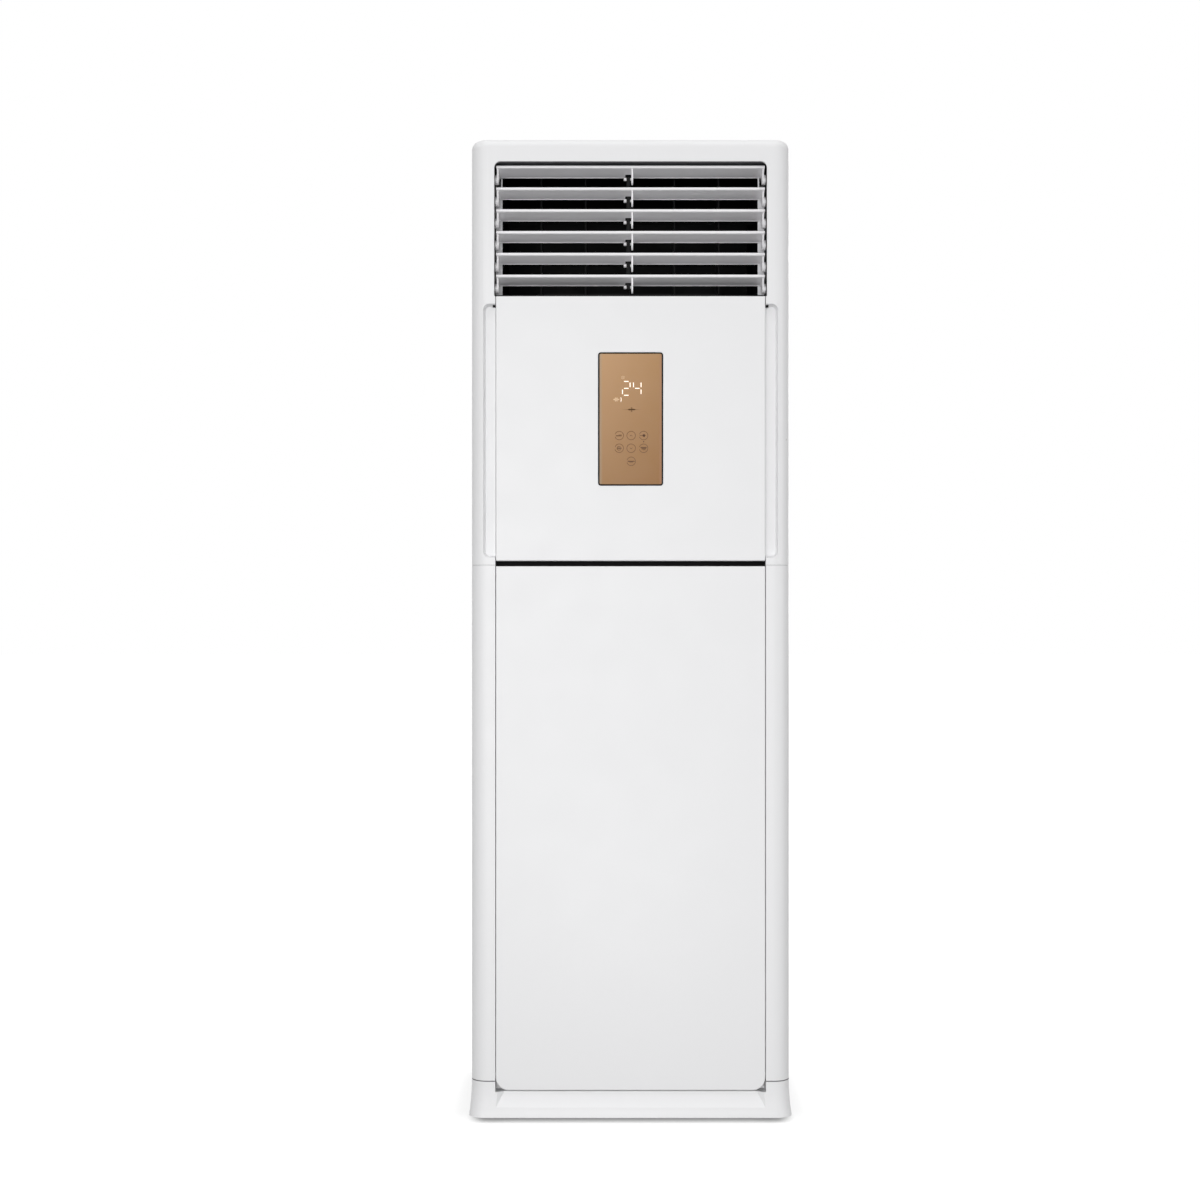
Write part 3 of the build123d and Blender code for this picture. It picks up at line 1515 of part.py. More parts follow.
with BuildPart() as drain_pan:
    span(
        (-pan_half_width, pan_half_width),
        (pan_front, pan_front + drain_pan_depth),
        (pan_bottom, pan_bottom + drain_pan_height),
    )
    fillet(
        drain_pan.edges().filter_by(Axis.X).group_by(Axis.Z)[0][-1],
        drain_pan_height / 4,
    )
    span(
        (-pan_half_width + drain_pan_wall, pan_half_width - drain_pan_wall),
        (pan_front + drain_pan_wall, pan_front + drain_pan_depth - drain_pan_wall),
        (pan_inner_floor, pan_bottom + 2 * drain_pan_height),
        mode=Mode.SUBTRACT,
    )
    # tongue that lies on the crossmember
    span(
        (-half_bay + 2 * shell_wall, half_bay - 2 * shell_wall),
        (cover_y + sheet + fit_gap, pan_front),
        (pan_bottom, pan_inner_floor),
    )
    spigot_x = pan_half_width - drain_spigot_inset_x
    spigot_y = pan_front + drain_pan_depth - drain_spigot_inset_y
    with BuildSketch(Plane((spigot_x, spigot_y, pan_bottom - drain_spigot_length))):
        Circle(drain_spigot_radius)
    extrude(amount=drain_spigot_length + drain_pan_wall / 2)
    with BuildSketch(Plane((spigot_x, spigot_y, pan_bottom - drain_spigot_length))):
        Circle(drain_spigot_bore)
    extrude(amount=drain_spigot_length + drain_pan_height, mode=Mode.SUBTRACT)
keep("drain_pan", drain_pan.part)


# ---------------------------------------------------------------- refrigerant pipes
def copper_pipe(radius, climb, end_height):
    """Pipe from the coil's right end plate, down the corner of the cabinet and out at the back."""
    start_x = coil_x + half_coil + end_plate
    start = coil_centre + coil_up * climb
    with BuildPart() as pipe:
        with BuildLine() as route:
            FilletPolyline(
                (start_x, start.Y, start.Z),
                (pipe_run_x, start.Y, start.Z),
                (pipe_run_x, start.Y, end_height),
                (pipe_run_x, pipe_end_y, end_height),
                radius=pipe_bend,
            )
        with BuildSketch(Plane((start_x, start.Y, start.Z), z_dir=(1, 0, 0))):
            Circle(radius)
        sweep(path=route.line)
        # open end
        with BuildSketch(facing(pipe_end_y)):
            with Locations((pipe_run_x, end_height)):
                Circle(radius - pipe_wall)
        extrude(amount=pipe_open_length, mode=Mode.SUBTRACT)
    return pipe.part


keep("gas_pipe", copper_pipe(gas_pipe_radius, gas_pipe_climb, gas_outlet_height))
keep(
    "liquid_pipe",
    copper_pipe(liquid_pipe_radius, liquid_pipe_climb, liquid_outlet_height),
)


# ---------------------------------------------------------------- electrics
box_left = box_x - box_width / 2
box_right = box_x + box_width / 2
box_back = scroll_front_y - box_rear_gap
box_front = box_back - box_depth
with BuildPart() as electrical_box:
    span((box_left, box_right), (box_front, box_back), (box_bottom, box_top))
    span(
        (box_left + sheet, box_right - sheet),
        (box_front - past, box_back - sheet),
        (box_bottom + sheet, box_top - sheet),
        mode=Mode.SUBTRACT,
    )
keep("electrical_box", electrical_box.part)

with BuildPart() as electrical_cover:
    span(
        (box_left, box_right),
        (box_front - sheet, box_front),
        (box_bottom, box_top),
    )
keep("electrical_cover", electrical_cover.part)

main_board_width = box_width - 2 * main_board_margin
main_board_height = main_board_share * (box_top - box_bottom)
board_middle = box_top - main_board_height / 2 - 2 * standoff
board_back_y = box_back - sheet
with BuildPart() as main_board:
    span(
        (box_x - main_board_width / 2, box_x + main_board_width / 2),
        (board_back_y - standoff - board_thickness, board_back_y - standoff),
        (board_middle - main_board_height / 2, board_middle + main_board_height / 2),
    )
    with BuildSketch(facing(board_back_y)) as posts:
        with Locations((box_x, board_middle)):
            with GridLocations(
                main_board_width - 2 * standoff, main_board_height - 2 * standoff, 2, 2
            ):
                Circle(standoff / 2)
    extrude(amount=standoff)
keep("main_board", main_board.part)

with BuildPart() as terminal_block:
    terminal_z = box_bottom + sheet + 4 * standoff
    terminal_x = box_left + sheet + terminal_width
    span(
        (terminal_x - terminal_width / 2, terminal_x + terminal_width / 2),
        (board_back_y - terminal_depth, board_back_y),
        (terminal_z, terminal_z + terminal_height),
    )
    pole_pitch = terminal_width / terminal_pole_count
    with BuildSketch(facing(board_back_y - terminal_depth / 2)) as pole_slots:
        with Locations((terminal_x, terminal_z + terminal_height / 2)):
            with GridLocations(pole_pitch, 1, terminal_pole_count, 1):
                Rectangle(pole_pitch / 2, 2 * terminal_height / 3)
    extrude(amount=terminal_depth, mode=Mode.SUBTRACT)
keep("terminal_block", terminal_block.part)

with BuildPart() as fan_capacitor:
    capacitor_x = box_right - sheet - 2 * capacitor_radius
    capacitor_y = board_back_y - 2 * capacitor_radius
    with BuildSketch(Plane((capacitor_x, capacitor_y, box_bottom + sheet))):
        Circle(capacitor_radius)
    extrude(amount=capacitor_length)
    chamfer(fan_capacitor.faces().sort_by(Axis.Z)[-1].edges(), capacitor_radius / 8)
keep("fan_capacitor", fan_capacitor.part)


# ---------------------------------------------------------------- write the pieces
os.makedirs("parts", exist_ok=True)
for name, part in pieces.items():
    export_step(part, f"parts/{name}.step")
print(len(pieces), "pieces")
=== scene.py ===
import json
from math import cos, pi, radians, sin

import bmesh
import bpy
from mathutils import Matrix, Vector


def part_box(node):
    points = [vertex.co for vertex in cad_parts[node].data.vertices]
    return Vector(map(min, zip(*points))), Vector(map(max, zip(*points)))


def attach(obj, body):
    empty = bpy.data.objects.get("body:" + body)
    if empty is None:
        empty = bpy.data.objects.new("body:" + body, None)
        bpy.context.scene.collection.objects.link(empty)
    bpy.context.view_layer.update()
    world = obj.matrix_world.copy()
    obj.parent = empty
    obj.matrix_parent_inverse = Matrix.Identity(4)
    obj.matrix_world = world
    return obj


# Floor standing air conditioner: finishes, printed and lit marks, small fittings, and the studio.
# Metres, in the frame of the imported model: +Z up, front towards -Y.
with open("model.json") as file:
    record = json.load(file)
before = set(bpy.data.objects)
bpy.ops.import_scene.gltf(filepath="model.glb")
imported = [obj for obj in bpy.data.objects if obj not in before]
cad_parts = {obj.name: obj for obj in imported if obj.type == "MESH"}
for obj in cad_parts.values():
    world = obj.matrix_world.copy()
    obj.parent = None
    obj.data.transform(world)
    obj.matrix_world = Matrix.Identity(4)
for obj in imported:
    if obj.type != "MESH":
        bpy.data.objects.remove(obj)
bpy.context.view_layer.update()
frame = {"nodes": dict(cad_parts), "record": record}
record = frame["record"]
MM = 0.001


# ---------------------------------------------------------------- shader building blocks
FULL_SCALE = 255
SRGB_KNEE, SRGB_SLOPE = 0.04045, 12.92  # the straight foot of the screen's colour curve
SRGB_OFFSET, SRGB_POWER = 0.055, 2.4


def srgb(red, green, blue):
    """A colour given as it looks on a screen, 0 to 255."""

    def linear(value):
        value /= FULL_SCALE
        if value <= SRGB_KNEE:
            return value / SRGB_SLOPE
        return ((value + SRGB_OFFSET) / (1 + SRGB_OFFSET)) ** SRGB_POWER

    return (linear(red), linear(green), linear(blue), 1.0)


def feed(tree, socket, value):
    """Links an output to the socket, or sets the socket to a plain value."""
    if isinstance(value, bpy.types.NodeSocket):
        tree.links.new(value, socket)
    else:
        socket.default_value = value


def calculate(tree, operation, *values):
    """The result of a Math node on outputs and plain numbers."""
    node = tree.nodes.new("ShaderNodeMath")
    node.operation = operation
    for socket, value in zip(node.inputs, values):
        feed(tree, socket, value)
    return node.outputs["Value"]


def remap(tree, value, start, end, low, high, interpolation="LINEAR"):
    """The value remapped from start..end to low..high."""
    node = tree.nodes.new("ShaderNodeMapRange")
    node.interpolation_type = interpolation
    for key, item in (
        ("Value", value),
        ("From Min", start),
        ("From Max", end),
        ("To Min", low),
        ("To Max", high),
    ):
        feed(tree, node.inputs[key], item)
    return node.outputs["Result"]


COAT_ROUGHNESS = 0.05
BEVEL_SAMPLES = 4
NOISE_LOW, NOISE_HIGH = 0.3, 0.7  # cloudy noise hardly leaves this band


class Surface:
    """A material with its Principled shader, to which patterns are added one by one."""

    def __init__(self, name, colour, roughness, metallic=0.0, specular=0.5, coat=0.0):
        self.material = bpy.data.materials.new(name)
        self.material.use_nodes = True
        self.material.diffuse_color = colour
        self.tree = self.material.node_tree
        self.nodes = self.tree.nodes
        self.links = self.tree.links
        self.shader = self.nodes["Principled BSDF"]
        self.shader.inputs["Base Color"].default_value = colour
        self.shader.inputs["Roughness"].default_value = roughness
        self.shader.inputs["Metallic"].default_value = metallic
        self.shader.inputs["Specular IOR Level"].default_value = specular
        self.shader.inputs["Coat Weight"].default_value = coat
        self.shader.inputs["Coat Roughness"].default_value = COAT_ROUGHNESS
        self.colour = colour
        self.place = self.nodes.new("ShaderNodeTexCoord").outputs["Object"]

    def math(self, operation, *values):
        return calculate(self.tree, operation, *values)

    def feed(self, socket, value):
        feed(self.tree, socket, value)

    def axis(self, name):
        """One coordinate of the place on the object."""
        node = self.nodes.new("ShaderNodeSeparateXYZ")
        self.links.new(self.place, node.inputs["Vector"])
        return node.outputs[name]

    def stretched(self, stretch):
        """The place on the object, scaled along each axis."""
        node = self.nodes.new("ShaderNodeMapping")
        node.inputs["Scale"].default_value = stretch
        self.links.new(self.place, node.inputs["Vector"])
        return node.outputs["Vector"]

    def noise(self, size, detail=2.0, stretch=(1, 1, 1)):
        """Cloudy noise whose features measure about size, in metres."""
        node = self.nodes.new("ShaderNodeTexNoise")
        node.inputs["Scale"].default_value = 1 / size
        node.inputs["Detail"].default_value = detail
        self.links.new(self.stretched(stretch), node.inputs["Vector"])
        return node.outputs["Fac"]

    def cells(self, size):
        """Voronoi cells of about that size."""
        node = self.nodes.new("ShaderNodeTexVoronoi")
        node.inputs["Scale"].default_value = 1 / size
        self.links.new(self.place, node.inputs["Vector"])
        return node.outputs["Color"]

    def ribs(self, axis_name, pitch):
        """A wave from 0 to 1 along one axis, repeated every pitch."""
        turns = self.math("MULTIPLY", self.axis(axis_name), 2 * pi / pitch)
        wave = self.math("SINE", turns)
        return self.math("MULTIPLY_ADD", wave, 0.5, 0.5)

    def spread(self, value, low, high, start, end):
        """The value remapped from start..end to low..high."""
        return remap(self.tree, value, start, end, low, high)

    def blend(self, factor, first, second):
        """A colour between two others."""
        node = self.nodes.new("ShaderNodeMix")
        node.data_type = "RGBA"
        self.feed(node.inputs["Factor"], factor)
        for socket, value in zip(
            [s for s in node.inputs if s.type == "RGBA"], (first, second)
        ):
            self.feed(socket, value)
        return [s for s in node.outputs if s.type == "RGBA"][0]

    def paint(self, colour):
        """Gives the shader another colour, plain or from a node."""
        self.feed(self.shader.inputs["Base Color"], colour)

    def mottle(self, factor, amount):
        """Lets the colour vary by a share of itself."""
        darker = tuple(c * (1 - amount) for c in self.colour[:3]) + (1.0,)
        self.paint(self.blend(factor, darker, self.colour))

    def gloss(self, factor, low, high):
        """Lets the roughness vary from low to high."""
        rough = self.spread(factor, low, high, NOISE_LOW, NOISE_HIGH)
        self.feed(self.shader.inputs["Roughness"], rough)

    def soften(self, radius):
        """Rounds sharp edges a little to the eye, by that radius in metres."""
        node = self.nodes.new("ShaderNodeBevel")
        node.samples = BEVEL_SAMPLES
        node.inputs["Radius"].default_value = radius
        self.links.new(node.outputs["Normal"], self.shader.inputs["Normal"])

    def bump(self, height, depth, strength):
        """Relief of that depth, in metres, added to any relief already there."""
        node = self.nodes.new("ShaderNodeBump")
        node.inputs["Strength"].default_value = strength
        node.inputs["Distance"].default_value = depth
        self.feed(node.inputs["Height"], height)
        normal = self.shader.inputs["Normal"]
        if normal.is_linked:
            self.links.new(normal.links[0].from_socket, node.inputs["Normal"])
        self.links.new(node.outputs["Normal"], normal)

    def glow(self, colour, strength):
        """Lets it shine by itself."""
        self.shader.inputs["Emission Color"].default_value = colour
        self.shader.inputs["Emission Strength"].default_value = strength


# sizes of the patterns in metres, how far they stand out, and how strongly they show
MOULDED_EDGE = 0.6 * MM
MOULDED_PATCH, MOULDED_SHADE = 0.25, 0.012
MOULDED_GLOSS_PATCH = 0.06
SKIN_WAVE, SKIN_DEPTH, SKIN_STRENGTH = 0.12, 0.0003, 0.25
GRAIN_SIZE, GRAIN_DEPTH, GRAIN_STRENGTH = 0.0009, 0.00002, 0.5
COATED_EDGE = 0.4 * MM
COATED_PATCH, COATED_SHADE = 0.3, 0.015
COATED_GLOSS_PATCH = 0.05
PEEL_SIZE, PEEL_DEPTH, PEEL_STRENGTH = 0.0035, 0.00004, 0.6
SPANGLE_SIZE, SPANGLE_SHADE = 0.012, 0.22
DRAWN_MARK, DRAWN_PATCH, DRAWN_SHADE = 0.0012, 0.03, 0.14


def moulded(name, colour, low, high, **finish):
    """Injection moulded plastic: fine spark-eroded grain over a faintly uneven skin."""
    surface = Surface(name, colour, (low + high) / 2, **finish)
    surface.soften(MOULDED_EDGE)
    surface.mottle(surface.noise(MOULDED_PATCH), MOULDED_SHADE)
    surface.gloss(surface.noise(MOULDED_GLOSS_PATCH, detail=4.0), low, high)
    surface.bump(surface.noise(SKIN_WAVE), SKIN_DEPTH, SKIN_STRENGTH)
    surface.bump(surface.noise(GRAIN_SIZE, detail=3.0), GRAIN_DEPTH, GRAIN_STRENGTH)
    return surface


def powder_coated(name, colour, low, high, **finish):
    """Powder coat on steel: orange peel a few millimetres across."""
    surface = Surface(name, colour, (low + high) / 2, **finish)
    surface.soften(COATED_EDGE)
    surface.mottle(surface.noise(COATED_PATCH), COATED_SHADE)
    surface.gloss(surface.noise(COATED_GLOSS_PATCH, detail=3.0), low, high)
    surface.bump(surface.noise(PEEL_SIZE, detail=1.0), PEEL_DEPTH, PEEL_STRENGTH)
    return surface


def galvanised(name, colour):
    """Zinc coated sheet with its spangle."""
    surface = Surface(name, colour, roughness=0.42, metallic=1.0)
    flake = surface.cells(SPANGLE_SIZE)
    surface.mottle(flake, SPANGLE_SHADE)
    surface.gloss(flake, low=0.36, high=0.5)
    surface.bump(surface.noise(0.004, detail=4.0), depth=0.00003, strength=0.4)
    return surface


def drawn_metal(name, colour, low, high, stretch=(1, 1, 1)):
    """Bare metal with drawing or turning marks."""
    surface = Surface(name, colour, (low + high) / 2, metallic=1.0)
    marks = surface.noise(DRAWN_MARK, detail=5.0, stretch=stretch)
    surface.mottle(surface.noise(DRAWN_PATCH, detail=4.0), DRAWN_SHADE)
    surface.gloss(marks, low, high)
    surface.bump(marks, depth=0.00002, strength=0.4)
    return surface


# ---------------------------------------------------------------- finishes
# the gold glass: its corner colours carry a painted reflection, lighter at the top left, and its
# edges get painted reflections of the room
GLASS_EDGE = 6 * MM
GLASS_EDGE_REFLECTION = 0.6
GLASS_TOP_LEFT, GLASS_TOP_RIGHT = srgb(192, 149, 104), srgb(174, 131, 83)
GLASS_FOOT_LEFT, GLASS_FOOT_RIGHT = srgb(159, 117, 70), srgb(147, 102, 50)
GLASS_LEFT_REFLECTION, GLASS_RIGHT_REFLECTION = srgb(158, 144, 124), srgb(168, 118, 88)
NET_PITCH, NET_DEPTH = 0.0016, 0.0004
FIN_PITCH, FIN_DEPTH = 0.0018, 0.0005
TRACK_SIZE, TRACK_SHARE, TRACK_DEPTH = 0.006, 0.53, 0.00008


def gold_glass():
    """Glass printed gold on its back, with a painted reflection that leaves it lighter and pinker
    at the top left and browner at the foot.
    """
    low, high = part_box("control_glass")
    surface = Surface("gold_glass", srgb(176, 134, 88), roughness=0.22, specular=0.2)
    across = surface.axis("X")
    down = surface.spread(surface.axis("Z"), 0.0, 1.0, high[2], low[2])
    right = surface.spread(across, 0.0, 1.0, low[0], high[0])
    top = surface.blend(right, GLASS_TOP_LEFT, GLASS_TOP_RIGHT)
    foot = surface.blend(right, GLASS_FOOT_LEFT, GLASS_FOOT_RIGHT)
    colour = surface.blend(down, top, foot)
    # painted reflection of the room along the left and right edges
    left = surface.spread(across, GLASS_EDGE_REFLECTION, 0.0, low[0], low[0] + GLASS_EDGE)
    colour = surface.blend(left, colour, GLASS_LEFT_REFLECTION)
    side = surface.spread(across, 0.0, GLASS_EDGE_REFLECTION, high[0] - GLASS_EDGE, high[0])
    surface.paint(surface.blend(side, colour, GLASS_RIGHT_REFLECTION))
    surface.gloss(surface.noise(0.02, detail=4.0), low=0.18, high=0.24)
    surface.bump(surface.noise(0.05), depth=0.00005, strength=0.2)
    return surface


def filter_net():
    """Fine square net in a moulded frame, its openings painted near black as the shade seen
    through them.
    """
    surface = Surface("filter_mesh", srgb(58, 62, 66), roughness=0.6)
    along = surface.ribs("Y", NET_PITCH)
    upward = surface.ribs("Z", NET_PITCH)
    threads = surface.math("MAXIMUM", along, upward)
    # near black between the threads is painted shade, where the net is open
    surface.paint(surface.blend(threads, srgb(18, 19, 21), srgb(96, 101, 106)))
    surface.gloss(surface.noise(0.01, detail=3.0), low=0.5, high=0.7)
    surface.bump(threads, NET_DEPTH, strength=0.7)
    return surface


def fin_pack():
    """Closely spaced aluminium fins, seen as fine vertical stripes: light fin edges, and painted
    shade in the gaps between them.
    """
    surface = Surface("fin_aluminium", srgb(188, 193, 196), roughness=0.38, metallic=1.0)
    edges = surface.ribs("X", FIN_PITCH)
    # the dark stripes are painted shade between the fins
    surface.paint(surface.blend(edges, srgb(96, 100, 104), srgb(206, 211, 214)))
    surface.gloss(surface.noise(0.02, detail=4.0), low=0.3, high=0.5)
    surface.bump(edges, FIN_DEPTH, strength=0.8)
    return surface


def circuit_board():
    """Solder mask with tracks that show through as slightly raised lines."""
    surface = Surface("circuit_board", srgb(24, 88, 52), roughness=0.35, coat=0.3)
    cloud = surface.noise(TRACK_SIZE, stretch=(1, 1, 0.2))
    tracks = surface.math("GREATER_THAN", cloud, TRACK_SHARE)
    surface.paint(surface.blend(tracks, srgb(20, 78, 46), srgb(38, 112, 66)))
    surface.gloss(surface.noise(0.01), low=0.3, high=0.45)
    surface.bump(tracks, TRACK_DEPTH, strength=0.6)
    return surface


# each finish has its colour, then its least and its greatest roughness
FINISHES = {
    "white_plastic": moulded("white_plastic", srgb(237, 237, 238), 0.34, 0.42),
    "painted_steel": powder_coated("painted_steel", srgb(234, 234, 234), 0.34, 0.44),
    "grille_plastic": moulded("grille_plastic", srgb(232, 232, 232), 0.45, 0.55),
    "filter_mesh": filter_net(),
    "zinc_steel": galvanised("zinc_steel", srgb(196, 200, 203)),
    "black_steel": powder_coated("black_steel", srgb(6, 6, 6), 0.5, 0.6, specular=0.06),
    "black_plastic": moulded("black_plastic", srgb(10, 10, 11), 0.5, 0.62, specular=0.18),
    "duct_plastic": moulded("duct_plastic", srgb(6, 6, 7), 0.55, 0.68, specular=0.1),
    "grey_plastic": moulded("grey_plastic", srgb(158, 161, 164), 0.45, 0.55),
    "bezel_plastic": moulded("bezel_plastic", srgb(14, 12, 11), 0.4, 0.5, specular=0.12),
    "gold_glass": gold_glass(),
    "circuit_board": circuit_board(),
    "bright_steel": drawn_metal("bright_steel", srgb(205, 206, 208), 0.2, 0.32),
    "motor_paint": powder_coated("motor_paint", srgb(70, 72, 75), 0.38, 0.5),
    "motor_steel": drawn_metal("motor_steel", srgb(192, 190, 184), 0.28, 0.42),
    "capacitor_can": drawn_metal(
        "capacitor_can", srgb(200, 202, 205), 0.26, 0.38, stretch=(1, 1, 0.05)
    ),
    "fin_aluminium": fin_pack(),
    "copper": drawn_metal("copper", srgb(205, 130, 92), 0.24, 0.4),
    "rubber": moulded("rubber", srgb(30, 30, 31), 0.65, 0.8),
}

# the louvers take a whiter copy of the white plastic: painted light for their brightly lit noses
LOUVER_PAINTED_LIGHT = moulded("louver_white_painted_light", srgb(245, 244, 246), 0.3, 0.38)
LOUVER_NODES = [f"louver_{number}" for number in range(1, 7)]

for part in record["subparts"]:
    node = frame["nodes"][part["node"]]
    finish = FINISHES[part["material_slot"]]
    if part["node"] in LOUVER_NODES:
        finish = LOUVER_PAINTED_LIGHT
    node.data.materials.clear()
    node.data.materials.append(finish.material)


def refinish(name, surface, chosen):
    """Gives another finish to the polygons of a node for which chosen(polygon) holds."""
    mesh = frame["nodes"][name].data
    mesh.materials.append(surface.material)
    for polygon in mesh.polygons:
        if chosen(polygon):
            polygon.material_index = 1


# the flanges of the duct that face the front beside the louver ends are pale, partly their own
# colour and partly painted light against the shade under the louver noses
FLANGE_DEPTH = 0.1 * MM
FLANGE_WIDTH = 15.7 * MM
louver_frame_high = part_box("louver_frame")[1]
flange_front = louver_frame_high[1] + FLANGE_DEPTH
flange_inside = louver_frame_high[0] - FLANGE_WIDTH
refinish(
    "outlet_duct",
    moulded("flange_pale_painted_light", srgb(238, 238, 240), 0.45, 0.55),
    lambda polygon: polygon.center.y < flange_front and abs(polygon.center.x) > flange_inside,
)

# the ceiling of the louver frame, in front of the first louver, is painted mid grey, partly a
# paler ceiling and partly painted light that it catches
CEILING_DEPTH = 4 * MM
FACES_DOWN = -0.9
ceiling = louver_frame_high[2] - CEILING_DEPTH
refinish(
    "louver_frame",
    moulded("frame_ceiling", srgb(112, 111, 114), 0.5, 0.62),
    lambda polygon: polygon.normal.z < FACES_DOWN and polygon.center.z > ceiling,
)

# the open joints on top of the plinth and of the lower columns are painted grey: painted shadow
# deep in the joints
BASE_JOINT = 1.9 * MM
COLUMN_JOINT = 0.6 * MM
JOINT_EDGE = 0.02 * MM
painted_joint_shadow = moulded("painted_joint_shadow", srgb(112, 112, 114), 0.6, 0.7, specular=0.1)
for name, height in (
    ("base_plinth", BASE_JOINT),
    ("lower_column_left", COLUMN_JOINT),
    ("lower_column_right", COLUMN_JOINT),
):
    joint_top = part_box(name)[1][2]
    joint_low, joint_high = joint_top - height, joint_top - JOINT_EDGE
    refinish(name, painted_joint_shadow, lambda polygon: joint_low < polygon.center.z < joint_high)


# ---------------------------------------------------------------- flat marks on the glass
glass_low, glass_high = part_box("control_glass")
glass_x = (glass_low[0] + glass_high[0]) / 2
glass_z = (glass_low[2] + glass_high[2]) / 2
MARK_THICKNESS = 0.06 * MM
MARK_STANDOFF = 0.08 * MM
mark_y = glass_low[1] - MARK_STANDOFF
DISC_POINTS, ARC_POINTS, PETAL_STEPS = 24, 40, 8


class Marks:
    """Flat shapes in millimetres about the middle of the glass, made into one thin mesh."""

    def __init__(self):
        self.mesh = bmesh.new()

    def point(self, x, z):
        return self.mesh.verts.new((glass_x + x * MM, mark_y, glass_z + z * MM))

    def face(self, corners):
        self.mesh.faces.new([self.point(x, z) for x, z in corners])

    def bar(self, x, z, length, stroke, turn=0.0):
        """A plain bar, turned by degrees."""
        ux, uz = cos(radians(turn)), sin(radians(turn))
        corners = ((-1, -1), (1, -1), (1, 1), (-1, 1))
        self.face(
            [
                (
                    x + a * ux * length / 2 - b * uz * stroke / 2,
                    z + a * uz * length / 2 + b * ux * stroke / 2,
                )
                for a, b in corners
            ]
        )

    def disc(self, x, z, radius):
        turns = [2 * pi * i / DISC_POINTS for i in range(DISC_POINTS)]
        self.face([(x + radius * cos(t), z + radius * sin(t)) for t in turns])

    def arc(self, x, z, radius, stroke, start, end, points=ARC_POINTS):
        """A band along a circle from start to end, in degrees."""
        inner, outer = radius - stroke / 2, radius + stroke / 2
        turns = [radians(start + (end - start) * i / points) for i in range(points + 1)]
        rows = [
            [self.point(x + r * cos(t), z + r * sin(t)) for r in (inner, outer)] for t in turns
        ]
        for first, second in zip(rows, rows[1:]):
            self.mesh.faces.new((first[0], first[1], second[1], second[0]))

    def petal(self, x, z, length, width, turn):
        """A leaf shape that starts at a point and runs outwards."""
        ux, uz = cos(radians(turn)), sin(radians(turn))
        turns = [i / PETAL_STEPS for i in range(PETAL_STEPS + 1)]
        side = [(t, sin(pi * t)) for t in turns]
        outline = [(a, b) for a, b in side] + [(a, -b) for a, b in side[-2:0:-1]]
        self.face(
            [
                (
                    x + a * length * ux - b * width / 2 * uz,
                    z + a * length * uz + b * width / 2 * ux,
                )
                for a, b in outline
            ]
        )

    def finish(self, name, surface, body="upper_panel", slot="gold_glass"):
        """Makes the piece, which rides on a body."""
        bmesh.ops.recalc_face_normals(self.mesh, faces=self.mesh.faces)
        for face in self.mesh.faces:
            if face.normal.y > 0:
                face.normal_flip()
        data = bpy.data.meshes.new(name)
        self.mesh.to_mesh(data)
        self.mesh.free()
        piece = bpy.data.objects.new(name, data)
        bpy.context.scene.collection.objects.link(piece)
        solid = piece.modifiers.new("thickness", "SOLIDIFY")
        solid.thickness = MARK_THICKNESS
        piece.data.materials.append(surface.material)
        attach(piece, body)


def shining(name, colour, light, strength):
    """A lit mark behind the glass."""
    surface = Surface(name, colour, roughness=0.4)
    surface.glow(light, strength)
    surface.bump(surface.noise(0.004), depth=0.00002, strength=0.3)
    return surface


DISPLAY_WHITE = srgb(255, 240, 222)
lit = shining("display_light", DISPLAY_WHITE, DISPLAY_WHITE, 0.75)
dim = shining("display_dim", srgb(208, 174, 132), srgb(238, 206, 168), 0.14)


def printed(name, colour):
    """Screen printing ink on the back of the glass."""
    ink = Surface(name, colour, roughness=0.42, specular=0.2)
    ink.mottle(ink.noise(0.006), amount=0.1)
    ink.bump(ink.noise(0.002), depth=0.00002, strength=0.4)
    return ink


ink = printed("key_print", srgb(98, 64, 36))
faint_ink = printed("ring_print", srgb(108, 72, 42))
pale_ink = printed("line_print", srgb(134, 98, 60))

DIGIT_WIDTH = 16.0
DIGIT_HEIGHT = 27.9
DIGIT_STROKE = 1.6
DIGIT_Z = 58.0
SEGMENT_LENGTH = 8.6
SEGMENTS = {"2": "abged", "4": "fgbc"}
DIGIT_X = {"2": -8.2, "4": 12.6}


def seven_segment(marks, digit, x, z):
    """One lit digit of seven bars, of which those named are on."""
    across = (DIGIT_WIDTH - DIGIT_STROKE) / 2
    up = (DIGIT_HEIGHT - DIGIT_STROKE) / 2
    places = {
        "a": (0, up, 0),
        "b": (across, up / 2, 90),
        "c": (across, -up / 2, 90),
        "d": (0, -up, 0),
        "e": (-across, -up / 2, 90),
        "f": (-across, up / 2, 90),
        "g": (0, 0, 0),
    }
    for letter in SEGMENTS[digit]:
        dx, dz, turn = places[letter]
        marks.bar(x + dx, z + dz, SEGMENT_LENGTH, DIGIT_STROKE, turn)


digits = Marks()
for digit, x in DIGIT_X.items():
    seven_segment(digits, digit, x, DIGIT_Z)
digits.finish("lit_digits", lit)

# the wave of air beside the fan
FAN_X, FAN_Z = -27.2, 36.9
FAN_WAVE_REACH, FAN_WAVE_STROKE = 9.4, 1.1
FAN_WAVE_ANGLE, FAN_WAVE_POINTS = 24, 14
wave = Marks()
wave.arc(
    FAN_X,
    FAN_Z,
    FAN_WAVE_REACH,
    FAN_WAVE_STROKE,
    -FAN_WAVE_ANGLE,
    FAN_WAVE_ANGLE,
    points=FAN_WAVE_POINTS,
)
wave.finish("lit_wave", lit)

